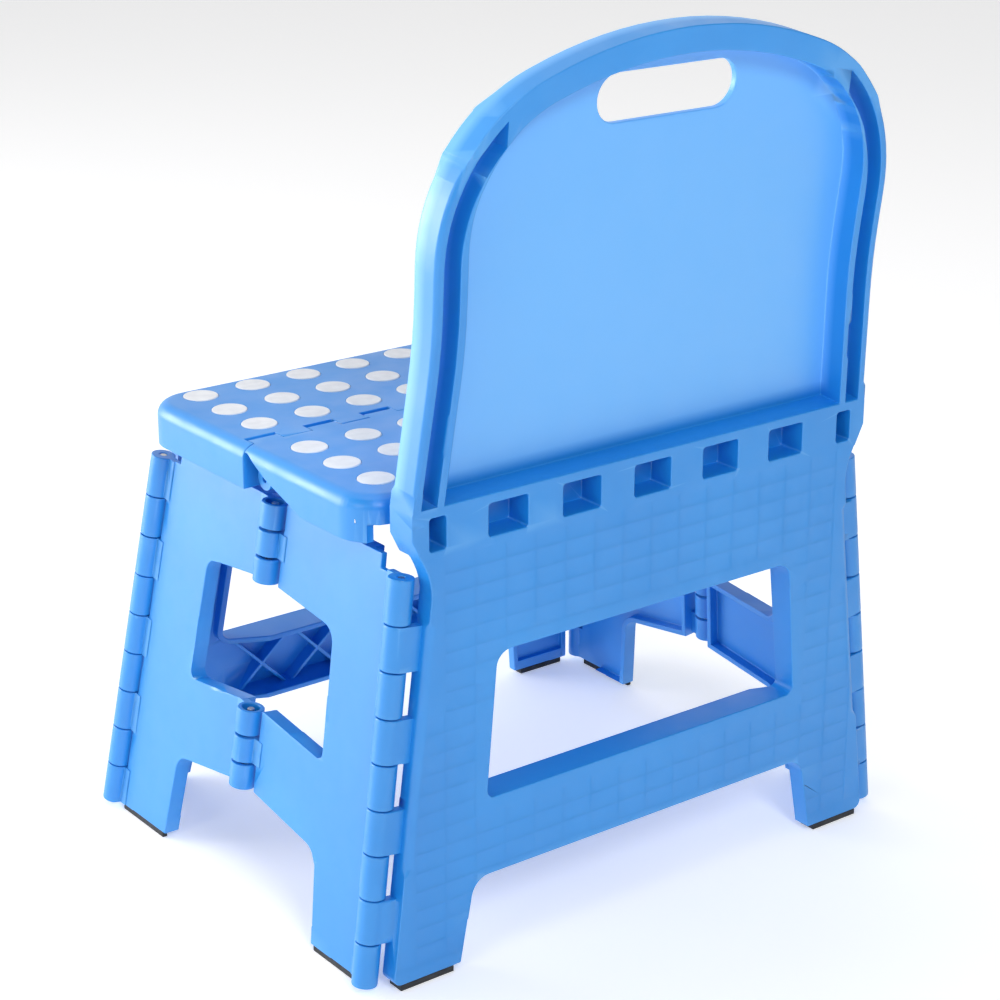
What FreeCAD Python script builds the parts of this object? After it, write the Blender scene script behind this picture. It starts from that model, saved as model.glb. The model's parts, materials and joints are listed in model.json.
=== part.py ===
import FreeCAD
import Part

import math
import os
import types

import Sketcher

# A plastic folding stool with a backrest, in millimetres.
# +Z is up, +Y points to the backrest, and the origin is on the floor under the middle of the stool.
# The backrest and rear legs are one moulding, the seat folds upwards along its middle,
# and each side is two half panels that fold inwards.

# Driving dimensions, one cell each
DIMENSIONS = {
    # corner hinges
    "hinge_half_width": 155.9,
    "hinge_span": 230.2,
    "centre_shift": 12.61,
    "side_lean": 6.8,
    "front_lean": 8.0,
    "hinge_foot": 3.0,
    "hinge_drop": 31.0,
    "barrel_radius": 6.0,
    "rod_radius": 1.8,
    "rod_clearance": 0.08,
    "knuckle_gap": 0.6,
    "web_gap": 1.5,
    "web_reach": 22.0,
    # shells
    "panel_depth": 17.0,
    "rear_face_clearance": 5.1,
    "front_face_clearance": 1.0,
    "plate": 3.0,
    "seat_plate": 2.6,
    "side_depth": 8.0,
    "side_gap": 0.5,
    "pad_height": 3.0,
    "pad_margin": 0.2,
    "pad_end": 1.5,
    "merge": 1.0,
    # leg frames
    "foot_clearance": 2.9,
    "foot_width": 37.5,
    "arch_flare": 7.7,
    "bar_bottom": 43.4,
    "bar_top": 81.4,
    "head_height": 52.8,
    "opening_low_post": 52.4,
    "opening_high_post": 35.0,
    "neck_clearance": 3.5,
    "neck_drop": 34.0,
    "front_top_drop": 21.0,
    "fold_relief_setback": 21.5,
    "fold_relief_angle": 19.5,
    "arch_radius": 10.0,
    "foot_radius": 4.0,
    "foot_block": 9.0,
    "opening_low_radius": 4.0,
    "opening_high_radius": 8.0,
    "neck_radius": 30.0,
    "front_top_inset": 1.0,
    "front_top_radius": 6.0,
    "rib_width": 2.4,
    # window band and backrest
    "band_flare": 11.0,
    "band_height": 21.5,
    "flare_drop": 12.0,
    "window_width": 21.8,
    "window_height": 15.3,
    "window_drop": 18.7,
    "end_window_step": 38.1,
    "end_window_margin": 13.6,
    "end_window_width": 9.0,
    "window_depth": 14.0,
    "window_radius": 1.5,
    "back_lean": 6.0,
    "back_waist_inset": 6.3,
    "back_waist_height": 75.0,
    "back_waist_radius": 300.0,
    "back_shoulder_inset": 3.0,
    "back_shoulder_height": 166.0,
    "back_shoulder_radius": 78.0,
    "back_top_slope": 20.0,
    "back_top_radius": 222.0,
    "back_plate": 3.5,
    "rim_wall": 4.5,
    "rim_groove": 8.5,
    "rim_rib": 4.0,
    "rim_top": 12.0,
    "rim_foot": 3.0,
    "groove_end_inset": 34.5,
    "handle_half": 39.5,
    "handle_height": 22.0,
    "handle_place": 168.0,
    "handle_end_flat": 0.4,
    # seat
    "seat_top": 226.0,
    "seat_side_overhang": 14.05,
    "skirt_depth": 21.0,
    "seat_corner_radius": 20.0,
    "seat_edge_inset": 6.0,
    "front_edge_drop": 3.0,
    "nose_start": 40.0,
    "nose_reach": 10.0,
    "nose_rise": 4.0,
    "nose_radius": 20.0,
    "arm_root": 1.5,
    "step_depth": 4.0,
    "post_gap": 1.0,
    "rod_setback": 2.4,
    "rear_pivot_setback": 25.3,
    "rear_pivot_drop": 11.4,
    "front_pivot_offset": 5.18,
    "front_pivot_drop": 11.7,
    "middle_pivot_offset": 12.18,
    "middle_pivot_drop": 15.1,
    "seat_barrel_radius": 5.5,
    "rear_overhang": 11.6,
    "front_overhang": 8.5,
    "seam_overhang": 7.6,
    "finger_reach": 5.5,
    "finger_margin": 14.2,
    "finger_width": 16.2,
    "slot_width": 3.2,
    "seam_gap": 0.6,
    "lug_width": 13.0,
    "lug_thickness": 6.0,
    "lug_clearance": 1.2,
    "dot_radius": 8.6,
    "dot_height": 1.5,
    "dot_recess": 1.2,
    "dot_side_margin": 24.04,
    "rear_dot_margin": 24.4,
    "front_dot_gap": 31.7,
    "rear_dot_gap": 11.3,
    # side panels
    "side_drop": 24.2,
    "side_notch": 16.0,
    "edge_clearance": 1.5,
    "middle_clearance": 2.5,
    "flange_setback": 25.0,
    "middle_barrel_radius": 6.5,
    "middle_bore": 4.4,
    "middle_knuckle_gap": 1.4,
    "rear_foot_width": 44.5,
    "rear_post": 48.0,
    "front_foot_width": 50.5,
    "front_post": 52.0,
    "side_bar_bottom": 48.0,
    "side_bar_bottom_middle": 56.0,
    "side_bar_top": 92.0,
    "side_bar_top_middle": 98.0,
    "side_head": 45.8,
    "side_head_middle": 40.8,
}

DOT_COLUMNS = range(-4, 5)
DOT_ROWS = range(3)
CORNER_KNUCKLES = 9
MIDDLE_KNUCKLES = 3
REAR_LUGS = (-2.5, -1.5, -0.5, 0.5, 1.5, 2.5)
WINDOWS = (-2, -1, 0, 1, 2)
REAR_FINGERS = (-4, -3, -2, -1, 0, 1, 2, 3, 4)
FRONT_FINGERS = (-3.5, -2.5, -1.5, -0.5, 0.5, 1.5, 2.5, 3.5)
LATTICE_CELLS = 5
FAR = 400.0
CUT_ROOM = 60.0

doc = FreeCAD.newDocument("folding_stool")
sheet = doc.addObject("Spreadsheet::Sheet", "Sheet")
finished = []


# Sizes that carry their own expression
class Size:
    """A length or angle with its value and the expression that gives it."""

    def __init__(self, value, text):
        self.value = value
        self.text = text

    def __add__(self, other):
        other = as_size(other)
        return Size(self.value + other.value, f"({self.text} + {other.text})")

    def __radd__(self, other):
        return as_size(other) + self

    def __sub__(self, other):
        other = as_size(other)
        return Size(self.value - other.value, f"({self.text} - {other.text})")

    def __rsub__(self, other):
        return as_size(other) - self

    def __mul__(self, other):
        other = as_size(other)
        return Size(self.value * other.value, f"({self.text} * {other.text})")

    def __rmul__(self, other):
        return as_size(other) * self

    def __truediv__(self, other):
        other = as_size(other)
        return Size(self.value / other.value, f"({self.text} / {other.text})")

    def __rtruediv__(self, other):
        return as_size(other) / self

    def __neg__(self):
        return Size(-self.value, f"(-1 * {self.text})")


def as_size(item):
    if isinstance(item, Size):
        return item
    return Size(float(item), f"({float(item):.6f})")


def sine(angle):
    return Size(math.sin(math.radians(angle.value)), f"sin({angle.text})")


def cosine(angle):
    return Size(math.cos(math.radians(angle.value)), f"cos({angle.text})")


def tangent(angle):
    return Size(math.tan(math.radians(angle.value)), f"tan({angle.text})")


def angle_of(ratio):
    return Size(math.degrees(math.atan(ratio.value)), f"atan({ratio.text})")


def read_dimensions():
    """Fill the sheet and return each cell as a named size."""
    sizes = {}
    for row, (name, value) in enumerate(DIMENSIONS.items(), start=1):
        sheet.set(f"A{row}", name)
        sheet.set(f"B{row}", str(value))
        sheet.setAlias(f"B{row}", name)
        sizes[name] = Size(value, f"Sheet.{name}")
    doc.recompute()
    return types.SimpleNamespace(**sizes)


dim = read_dimensions()


# Sizes that follow others
def tie_heights():
    """Everything near the seat keeps its distance below the seat's top."""
    dim.band_top = dim.seat_top
    dim.band_bottom = dim.band_top - dim.band_height
    dim.flare_top = dim.band_top - dim.flare_drop
    dim.window_bottom = dim.band_top - dim.window_drop
    dim.neck_height = dim.seat_top - dim.neck_drop
    dim.hinge_top = dim.seat_top - dim.hinge_drop
    dim.front_top = dim.seat_top - dim.front_top_drop
    dim.opening_top = dim.band_bottom - dim.head_height
    dim.rear_pivot_height = dim.seat_top - dim.rear_pivot_drop
    dim.middle_pivot_height = dim.seat_top - dim.middle_pivot_drop
    dim.front_pivot_height = dim.seat_top - dim.front_pivot_drop
    dim.side_top = dim.seat_top - dim.side_drop
    dim.side_opening_top = dim.side_top - dim.side_head
    dim.side_opening_top_middle = dim.side_top - dim.side_head_middle


def tie_clearances():
    """What lies beside a hinge line keeps clear of its barrels."""
    dim.edge_gap = dim.barrel_radius + dim.edge_clearance
    dim.middle_gap = dim.middle_barrel_radius + dim.middle_clearance
    dim.panel_inset = dim.barrel_radius + dim.rear_face_clearance
    dim.front_inset = dim.barrel_radius + dim.front_face_clearance


def tie_widths():
    """Legs, window band, backrest and seat follow the leaning hinge lines at their own heights."""
    inward = tangent(dim.side_lean)
    dim.foot_outer = dim.hinge_half_width - dim.barrel_radius - dim.foot_clearance
    dim.foot_inner = dim.foot_outer - dim.foot_width
    dim.bar_inner = dim.foot_inner - dim.arch_flare
    dim.opening_half_low = dim.foot_outer - dim.opening_low_post
    line_at_neck = dim.hinge_half_width - dim.neck_height * inward
    dim.neck_half = line_at_neck - dim.barrel_radius - dim.neck_clearance
    dim.opening_half_high = dim.neck_half - dim.opening_high_post
    dim.fold_relief_half = dim.neck_half - dim.fold_relief_setback
    dim.band_half = dim.neck_half + dim.band_flare
    dim.end_window_place = dim.band_half - dim.end_window_margin
    dim.window_pitch = (dim.end_window_place - dim.end_window_step) / WINDOWS[-1]
    dim.back_waist_half = dim.band_half - dim.back_waist_inset
    dim.back_shoulder_half = dim.band_half - dim.back_shoulder_inset
    dim.groove_end_half = dim.back_shoulder_half - dim.groove_end_inset
    dim.seat_half = dim.hinge_half_width - dim.seat_top * inward + dim.seat_side_overhang
    dim.finger_pitch = (dim.seat_half - dim.finger_margin) / REAR_FINGERS[-1]
    dim.dot_pitch_x = (dim.seat_half - dim.dot_side_margin) / DOT_COLUMNS[-1]


def tie_depths():
    """The front pivot follows the leaning front panel, and the dots fill the rear half of the seat."""
    dim.front_pivot_setback = dim.front_pivot_height * tangent(dim.front_lean) + dim.front_pivot_offset
    pivots = dim.hinge_span / 2 - dim.rear_pivot_setback - dim.middle_pivot_offset
    rear_length = pivots + dim.rear_overhang
    dim.dot_pitch_y = (rear_length - dim.rear_dot_gap - dim.rear_dot_margin) / DOT_ROWS[-1]


tie_heights()
tie_clearances()
tie_widths()
tie_depths()


# Places that several pieces share
def line_stretch(slope):
    """How much longer a hinge line is than it is high, leaning inwards and along the stool."""
    inward = tangent(dim.side_lean)
    return Size(
        math.sqrt(1 + inward.value**2 + slope.value**2),
        f"sqrt(1 + {inward.text} * {inward.text} + {slope.text} * {slope.text})",
    )


def hinge_places():
    """The hinge lines: y of each one at the floor, their leans, and the seat's three pivots."""
    rear_y = dim.hinge_span / 2 - dim.centre_shift
    front_y = -dim.hinge_span / 2 - dim.centre_shift
    middle_y = (rear_y + front_y) / 2
    return types.SimpleNamespace(
        rear_y=rear_y,
        front_y=front_y,
        middle_y=middle_y,
        front_slope=tangent(dim.front_lean) * cosine(dim.side_lean),
        middle_slope=tangent(dim.front_lean / 2) * cosine(dim.side_lean),
        front_in_plane=angle_of(tangent(dim.side_lean) * cosine(dim.front_lean)),
        rear_stretch=1 / cosine(dim.side_lean),
        front_stretch=line_stretch(tangent(dim.front_lean)),
        rear_face=rear_y + dim.panel_inset,
        rear_pivot_y=rear_y - dim.rear_pivot_setback,
        front_pivot_y=front_y + dim.front_pivot_setback,
        middle_pivot_y=middle_y + dim.middle_pivot_offset,
    )


at = hinge_places()


def knuckle_spans(low, high, count, first, gap):
    """Every second knuckle between two heights, counted from the bottom."""
    pitch = (high - low) / count
    spans = []
    for index in range(first, count, 2):
        bottom = low + pitch * index + gap / 2
        top = low + pitch * (index + 1) - gap / 2
        spans.append((bottom, top))
    return spans


# Sketches and features
def new_body(label):
    body = doc.addObject("PartDesign::Body", label)
    body.Label = label
    finished.append(body)
    return body


def hand(side):
    """The left is that of someone who sits on the stool, on +X."""
    return "left" if side > 0 else "right"


def bind(feature, name, size):
    feature.setExpression(name, as_size(size).text)


def place(feature, prop, base, axis=None, angle=None):
    """Bind a placement: its base and, where given, a turn about an axis."""
    turn = FreeCAD.Rotation()
    if axis is not None:
        turn = FreeCAD.Rotation(FreeCAD.Vector(*axis), as_size(angle).value)
    values = [as_size(item).value for item in base]
    setattr(feature, prop, FreeCAD.Placement(FreeCAD.Vector(*values), turn))
    for letter, item in zip("xyz", base):
        bind(feature, f"{prop}.Base.{letter}", item)
    if axis is not None:
        bind(feature, f"{prop}.Rotation.Angle", angle)


def rounded(corners):
    """Work out each corner's line ends and arc from (x, y) or (x, y, radius) corners."""
    points = [FreeCAD.Vector(as_size(c[0]).value, as_size(c[1]).value, 0) for c in corners]
    ends = []
    for index, corner in enumerate(corners):
        point = points[index]
        if len(corner) == 2:
            ends.append((point, point, None))
            continue
        radius = as_size(corner[2]).value
        back = (points[index - 1] - point).normalize()
        ahead = (points[(index + 1) % len(points)] - point).normalize()
        half = back.getAngle(ahead) / 2
        reach = radius / math.tan(half)
        centre = point + (back + ahead).normalize() * (radius / math.sin(half))
        middle = centre + (point - centre).normalize() * radius
        start = point + back * reach
        end = point + ahead * reach
        ends.append((start, end, Part.Arc(start, middle, end)))
    return points, ends


def add_outline(sketch, corners):
    """One closed outline whose corners and radii are bound to the sheet."""
    points, ends = rounded(corners)
    count = len(corners)
    lines = []
    for index in range(count):
        line = Part.LineSegment(ends[index][1], ends[(index + 1) % count][0])
        lines.append(sketch.addGeometry(line, False))
    for index, corner in enumerate(corners):
        before, after = lines[index - 1], lines[index]
        if ends[index][2] is None:
            sketch.addConstraint(Sketcher.Constraint("Coincident", before, 2, after, 1))
            held = (after, 1)
        else:
            arc = sketch.addGeometry(ends[index][2], False)
            spot = sketch.addGeometry(Part.Point(points[index]), True)
            arc_start = sketch.getPoint(arc, 1)
            first = 1 if arc_start.distanceToPoint(ends[index][0]) < 1e-6 else 2
            sketch.addConstraint(Sketcher.Constraint("Tangent", before, 2, arc, first))
            sketch.addConstraint(Sketcher.Constraint("Tangent", after, 1, arc, 3 - first))
            sketch.addConstraint(Sketcher.Constraint("PointOnObject", spot, 1, before))
            sketch.addConstraint(Sketcher.Constraint("PointOnObject", spot, 1, after))
            radius = as_size(corner[2])
            held_radius = sketch.addConstraint(Sketcher.Constraint("Radius", arc, radius.value))
            bind(sketch, f"Constraints[{held_radius}]", radius)
            held = (spot, 1)
        for kind, item in (("DistanceX", corner[0]), ("DistanceY", corner[1])):
            item = as_size(item)
            number = sketch.addConstraint(Sketcher.Constraint(kind, -1, 1, *held, item.value))
            bind(sketch, f"Constraints[{number}]", item)


def add_circle(sketch, x, y, radius):
    centre = FreeCAD.Vector(as_size(x).value, as_size(y).value, 0)
    circle = Part.Circle(centre, FreeCAD.Vector(0, 0, 1), as_size(radius).value)
    ring = sketch.addGeometry(circle, False)
    for kind, item in (("DistanceX", x), ("DistanceY", y)):
        item = as_size(item)
        number = sketch.addConstraint(Sketcher.Constraint(kind, -1, 1, ring, 3, item.value))
        bind(sketch, f"Constraints[{number}]", item)
    number = sketch.addConstraint(Sketcher.Constraint("Radius", ring, as_size(radius).value))
    bind(sketch, f"Constraints[{number}]", radius)


def new_sketch(body, name, plane, base, axis=None, angle=None):
    """An empty sketch on one of the body's own planes, set off and turned in that plane's axes."""
    sketch = body.newObject("Sketcher::SketchObject", name)
    origin = [item for item in body.Origin.OriginFeatures if item.Role == plane]
    sketch.AttachmentSupport = [(origin[0], "")]
    sketch.MapMode = "FlatFace"
    place(sketch, "AttachmentOffset", base, axis, angle)
    return sketch


def draw(body, name, plane, base, outlines, axis=None, angle=None):
    sketch = new_sketch(body, name, plane, base, axis, angle)
    for corners in outlines:
        add_outline(sketch, corners)
    return sketch


def box_outline(x_low, x_high, y_low, y_high, radius=None):
    corners = [(x_low, y_low), (x_high, y_low), (x_high, y_high), (x_low, y_high)]
    if radius is None:
        return corners
    return [(x, y, radius) for x, y in corners]


def pad(body, sketch, length, against_normal=False):
    feature = body.newObject("PartDesign::Pad", sketch.Name + "_pad")
    feature.Profile = sketch
    feature.Reversed = against_normal
    bind(feature, "Length", length)
    doc.recompute()
    return feature


def pocket(body, sketch, length, along_normal=False, both_ways=False):
    """Cut a sketch out of the body, and stop if it cut nothing."""
    before = body.Shape.Volume
    feature = body.newObject("PartDesign::Pocket", sketch.Name + "_cut")
    feature.Profile = sketch
    feature.Reversed = along_normal
    if both_ways:
        feature.SideType = "Symmetric"
    bind(feature, "Length", length)
    doc.recompute()
    if body.Shape.Volume > before - 1e-3:
        raise RuntimeError(f"{body.Label}: {feature.Name} cut nothing")
    return feature


def turn_about(body, sketch, axis, cut=False):
    """Spin a sketch about its own H_Axis or V_Axis, as new material or as a bore."""
    kind = "PartDesign::Groove" if cut else "PartDesign::Revolution"
    feature = body.newObject(kind, sketch.Name + "_turn")
    feature.Profile = sketch
    feature.ReferenceAxis = (sketch, [axis])
    feature.Angle = 360.0
    doc.recompute()
    return feature


def shell(body, wall, open_face):
    """Hollow the body, open at the faces for which open_face is true."""
    faces = [f"Face{n}" for n, face in enumerate(body.Shape.Faces, start=1) if open_face(face)]
    feature = body.newObject("PartDesign::Thickness", body.Name + "_shell")
    feature.Base = (body.Tip if body.Tip != feature else feature.BaseFeature, faces)
    feature.Reversed = True
    feature.Join = "Intersection"
    bind(feature, "Value", wall)
    doc.recompute()
    return feature


def hinge_rod(label, base, length, axis, angle):
    rod = doc.addObject("Part::Cylinder", label)
    rod.Label = label
    bind(rod, "Radius", dim.rod_radius)
    bind(rod, "Height", length)
    place(rod, "Placement", base, axis, angle)
    finished.append(rod)
    return rod


def foot_pad(label, base, length, width):
    block = doc.addObject("Part::Box", label)
    block.Label = label
    bind(block, "Length", length)
    bind(block, "Width", width)
    bind(block, "Height", dim.pad_height)
    place(block, "Placement", base)
    finished.append(block)
    return block


# Leg frames, used by the rear and the front panel
def leg_outline(top_corners, foot):
    """The legs, from the feet up to the given top corners, mirrored left and right."""
    right = [
        (dim.bar_inner, dim.bar_bottom, dim.arch_radius),
        (dim.foot_inner, foot),
        (dim.foot_outer, foot, dim.foot_radius),
    ]
    right.extend(top_corners)
    left = [(-corner[0], *corner[1:]) for corner in reversed(right)]
    return right + left


def leg_opening():
    return [
        (dim.opening_half_low, dim.bar_top, dim.opening_low_radius),
        (dim.opening_half_high, dim.opening_top, dim.opening_high_radius),
        (-dim.opening_half_high, dim.opening_top, dim.opening_high_radius),
        (-dim.opening_half_low, dim.bar_top, dim.opening_low_radius),
    ]


def corner_webs(body, name, side, hinge_y, outward, lean, stretch):
    """The leg's knuckles at one corner: webs behind the hinge line, barrels on it, one bore."""
    spans = knuckle_spans(dim.hinge_foot, dim.hinge_top, CORNER_KNUCKLES, 1, dim.knuckle_gap)
    spans = [(low * stretch, high * stretch) for low, high in spans]
    turn = (0, 0, side)
    base = (side * dim.hinge_half_width, 0, -(hinge_y + outward * dim.web_gap))
    reach = -side * dim.web_reach
    webs = [box_outline(reach, 0, low, high) for low, high in spans]
    sketch = draw(body, name + "_webs", "XZ_Plane", base, webs, turn, lean)
    pad(body, sketch, dim.barrel_radius - dim.web_gap, against_normal=outward > 0)
    base = (side * dim.hinge_half_width, 0, -hinge_y)
    barrels = [box_outline(0, dim.barrel_radius, low, high) for low, high in spans]
    sketch = draw(body, name + "_barrels", "XZ_Plane", base, barrels, turn, lean)
    turn_about(body, sketch, "V_Axis")
    bore = [box_outline(0, dim.rod_radius + dim.rod_clearance, spans[0][0], spans[-1][1])]
    sketch = draw(body, name + "_bore", "XZ_Plane", base, bore, turn, lean)
    turn_about(body, sketch, "V_Axis", cut=True)


def fold_relief(body, hinge_y, outward, height):
    """Room in front of the legs for the folded side panels, on both sides."""
    edge = hinge_y + outward * dim.web_gap
    deep = edge - outward * CUT_ROOM
    inner = dim.fold_relief_half - CUT_ROOM / tangent(dim.fold_relief_angle)
    outlines = []
    for side in (1, -1):
        outlines.append(
            [
                (side * dim.fold_relief_half, edge),
                (side * FAR, edge),
                (side * FAR, deep),
                (side * inner, deep),
            ]
        )
    for number, corners in enumerate(outlines):
        base = (0, 0, -CUT_ROOM)
        sketch = draw(body, f"{body.Name}_relief_{number}", "XY_Plane", base, [corners])
        pocket(body, sketch, height + CUT_ROOM, along_normal=True)


def row_barrels(body, name, places, width, pivot_y, pivot_z):
    """Hinge barrels along X on a seat pivot."""
    half = width / 2
    boxes = [box_outline(x - half, x + half, 0, dim.seat_barrel_radius) for x in places]
    sketch = draw(body, name, "XY_Plane", (0, pivot_y, pivot_z), boxes)
    return turn_about(body, sketch, "H_Axis")


def row_bore(body, name, reach, pivot_y, pivot_z):
    corners = box_outline(-reach, reach, 0, dim.rod_radius + dim.rod_clearance)
    sketch = draw(body, name, "XY_Plane", (0, pivot_y, pivot_z), [corners])
    return turn_about(body, sketch, "H_Axis", cut=True)


def lug_places():
    return [dim.window_pitch * step for step in REAR_LUGS]


def between_lugs():
    return [dim.window_pitch * step for step in WINDOWS]


# Backrest with rear legs
def back_outline(side_inset, top_inset, foot):
    """The backrest's outline, drawn in by one amount at the sides and another along the top."""
    rise = side_inset * tangent(dim.back_top_slope)
    drop = top_inset / cosine(dim.back_top_slope)
    shoulder = dim.back_shoulder_height + rise - drop
    peak = shoulder + (dim.back_shoulder_half - side_inset) * tangent(dim.back_top_slope)
    right = [
        (dim.band_half - side_inset, foot),
        (dim.back_waist_half - side_inset, dim.back_waist_height, dim.back_waist_radius),
        (
            dim.back_shoulder_half - side_inset,
            shoulder,
            dim.back_shoulder_radius - side_inset,
        ),
    ]
    left = [(-corner[0], *corner[1:]) for corner in reversed(right)]
    return right, (0, peak, dim.back_top_radius - top_inset), left


def closed_back(side_inset, top_inset, foot):
    right, peak, left = back_outline(side_inset, top_inset, foot)
    return right + [peak] + left


def back_plane(depth):
    """The base of a plane parallel to the leaning backrest, this deep behind its front face."""
    front = at.rear_face - dim.panel_depth
    y = front + depth * cosine(dim.back_lean)
    z = dim.band_top - depth * sine(dim.back_lean)
    return (0, z, -y)


def draw_on_back(body, name, depth, outlines):
    base = back_plane(depth)
    return draw(body, name, "XZ_Plane", base, outlines, (-1, 0, 0), dim.back_lean)


def flare_half():
    """Half the width where the legs meet the window band, on the line from the neck to the band."""
    rise = (dim.band_bottom - dim.neck_height) / (dim.flare_top - dim.neck_height)
    return dim.neck_half + rise * (dim.band_half - dim.neck_half)


def make_backrest():
    body = new_body("backrest_panel")
    top = [
        (dim.neck_half, dim.neck_height, dim.neck_radius),
        (flare_half(), dim.band_bottom),
    ]
    base = (0, 0, -at.rear_face)
    legs = [leg_outline(top, dim.pad_height), leg_opening()]
    pad(body, draw(body, "rear_legs", "XZ_Plane", base, legs), dim.panel_depth)
    front = (at.rear_face - dim.panel_depth).value
    shell(body, dim.plate, lambda face: abs(face.CenterOfMass.y - front) < 1e-4)
    fold_relief(body, at.rear_y, 1, dim.band_bottom)

    band = [(flare_half(), dim.band_bottom)]
    band += [(dim.band_half, dim.flare_top), (dim.band_half, dim.band_top)]
    band += [(-corner[0], corner[1]) for corner in band[::-1]]
    pad(body, draw(body, "window_band", "XZ_Plane", base, [band]), dim.panel_depth)
    sketch = draw_on_back(body, "back_plate", as_size(0), [closed_back(as_size(0), as_size(0), 0)])
    pad(body, sketch, dim.panel_depth, against_normal=True)

    plane = dim.back_plate
    outer = back_outline(dim.rim_wall, dim.rim_wall, dim.rim_foot)
    inset = dim.rim_wall + dim.rim_groove
    inner = back_outline(inset, inset, dim.rim_foot)
    arch = outer[0] + [outer[1]] + outer[2]
    arch += inner[2][::-1] + [inner[1]] + inner[0][::-1]
    pocket(body, draw_on_back(body, "rim_groove", plane, [arch]), 2 * dim.panel_depth)
    right, peak, left = back_outline(dim.rim_wall, dim.rim_wall, 0)
    shoulder_x, shoulder_z = right[2][0], right[2][1]
    fill_z = shoulder_z + (shoulder_x - dim.groove_end_half) * tangent(dim.back_top_slope)
    low = dim.back_waist_height + dim.groove_end_half / 2
    fill = [
        (dim.groove_end_half, low),
        (dim.groove_end_half, fill_z),
        peak,
        (-dim.groove_end_half, fill_z),
        (-dim.groove_end_half, low),
    ]
    sketch = draw_on_back(body, "groove_end", as_size(0), [fill])
    pad(body, sketch, dim.panel_depth, against_normal=True)
    side = inset + dim.rim_rib
    recess = closed_back(side, dim.rim_top, dim.rim_foot)
    pocket(body, draw_on_back(body, "back_recess", plane, [recess]), 2 * dim.panel_depth)
    half = dim.handle_height / 2
    handle = box_outline(
        -dim.handle_half,
        dim.handle_half,
        dim.handle_place - half,
        dim.handle_place + half,
        half - dim.handle_end_flat / 2,
    )
    sketch = draw_on_back(body, "handle_slot", as_size(0), [handle])
    pocket(body, sketch, 4 * dim.panel_depth, both_ways=True)

    windows = []
    sizes = [(dim.window_pitch * step, dim.window_width) for step in WINDOWS]
    sizes += [(side * dim.end_window_place, dim.end_window_width) for side in (1, -1)]
    for x, width in sizes:
        top = dim.window_bottom + dim.window_height
        left, right = x - width / 2, x + width / 2
        windows.append(box_outline(left, right, dim.window_bottom, top, dim.window_radius))
    sketch = draw(body, "windows", "XZ_Plane", base, windows)
    pocket(body, sketch, dim.window_depth, along_normal=True)

    low = dim.rear_pivot_height - dim.lug_thickness / 2
    lugs = []
    for x in lug_places():
        half = dim.lug_width / 2
        lugs.append(box_outline(x - half, x + half, low, low + dim.lug_thickness))
    sketch = draw(body, "lugs", "XZ_Plane", (0, 0, -at.rear_pivot_y), lugs)
    reach = dim.rear_pivot_setback - dim.panel_depth + dim.panel_inset + dim.merge
    pad(body, sketch, reach, against_normal=True)
    pivot = (at.rear_pivot_y, dim.rear_pivot_height)
    row_barrels(body, "lug_barrels", lug_places(), dim.lug_width, *pivot)
    row_bore(body, "lug_bore", dim.seat_half, *pivot)
    for side in (1, -1):
        corner_webs(body, f"rear_{hand(side)}", side, at.rear_y, 1, dim.side_lean, at.rear_stretch)
    return body


# Front legs
def below(level, slope):
    """All that lies under a sloping floor line."""
    rise = CUT_ROOM * slope
    return [
        (-CUT_ROOM, level - rise),
        (CUT_ROOM, level + rise),
        (CUT_ROOM, -2 * CUT_ROOM),
        (-CUT_ROOM, -2 * CUT_ROOM),
    ]


def front_local(y, z):
    """A point of the stool's own frame in the leaning front panel's frame."""
    along = y - at.front_y
    lean = dim.front_lean
    return (
        along * cosine(lean) - z * sine(lean),
        along * sine(lean) + z * cosine(lean),
    )


def lattice(direction):
    """Slanting ribs across the lower bar, one way."""
    low = dim.bar_bottom + dim.plate / 2
    high = dim.bar_top - dim.plate / 2
    height = high - low
    ribs = []
    for cell in range(LATTICE_CELLS):
        foot = direction * (height * (cell - LATTICE_CELLS / 2))
        head = foot + direction * height
        wide = direction * dim.rib_width
        ribs.append([(foot, low), (foot + wide, low), (head + wide, high), (head, high)])
    return ribs


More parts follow.
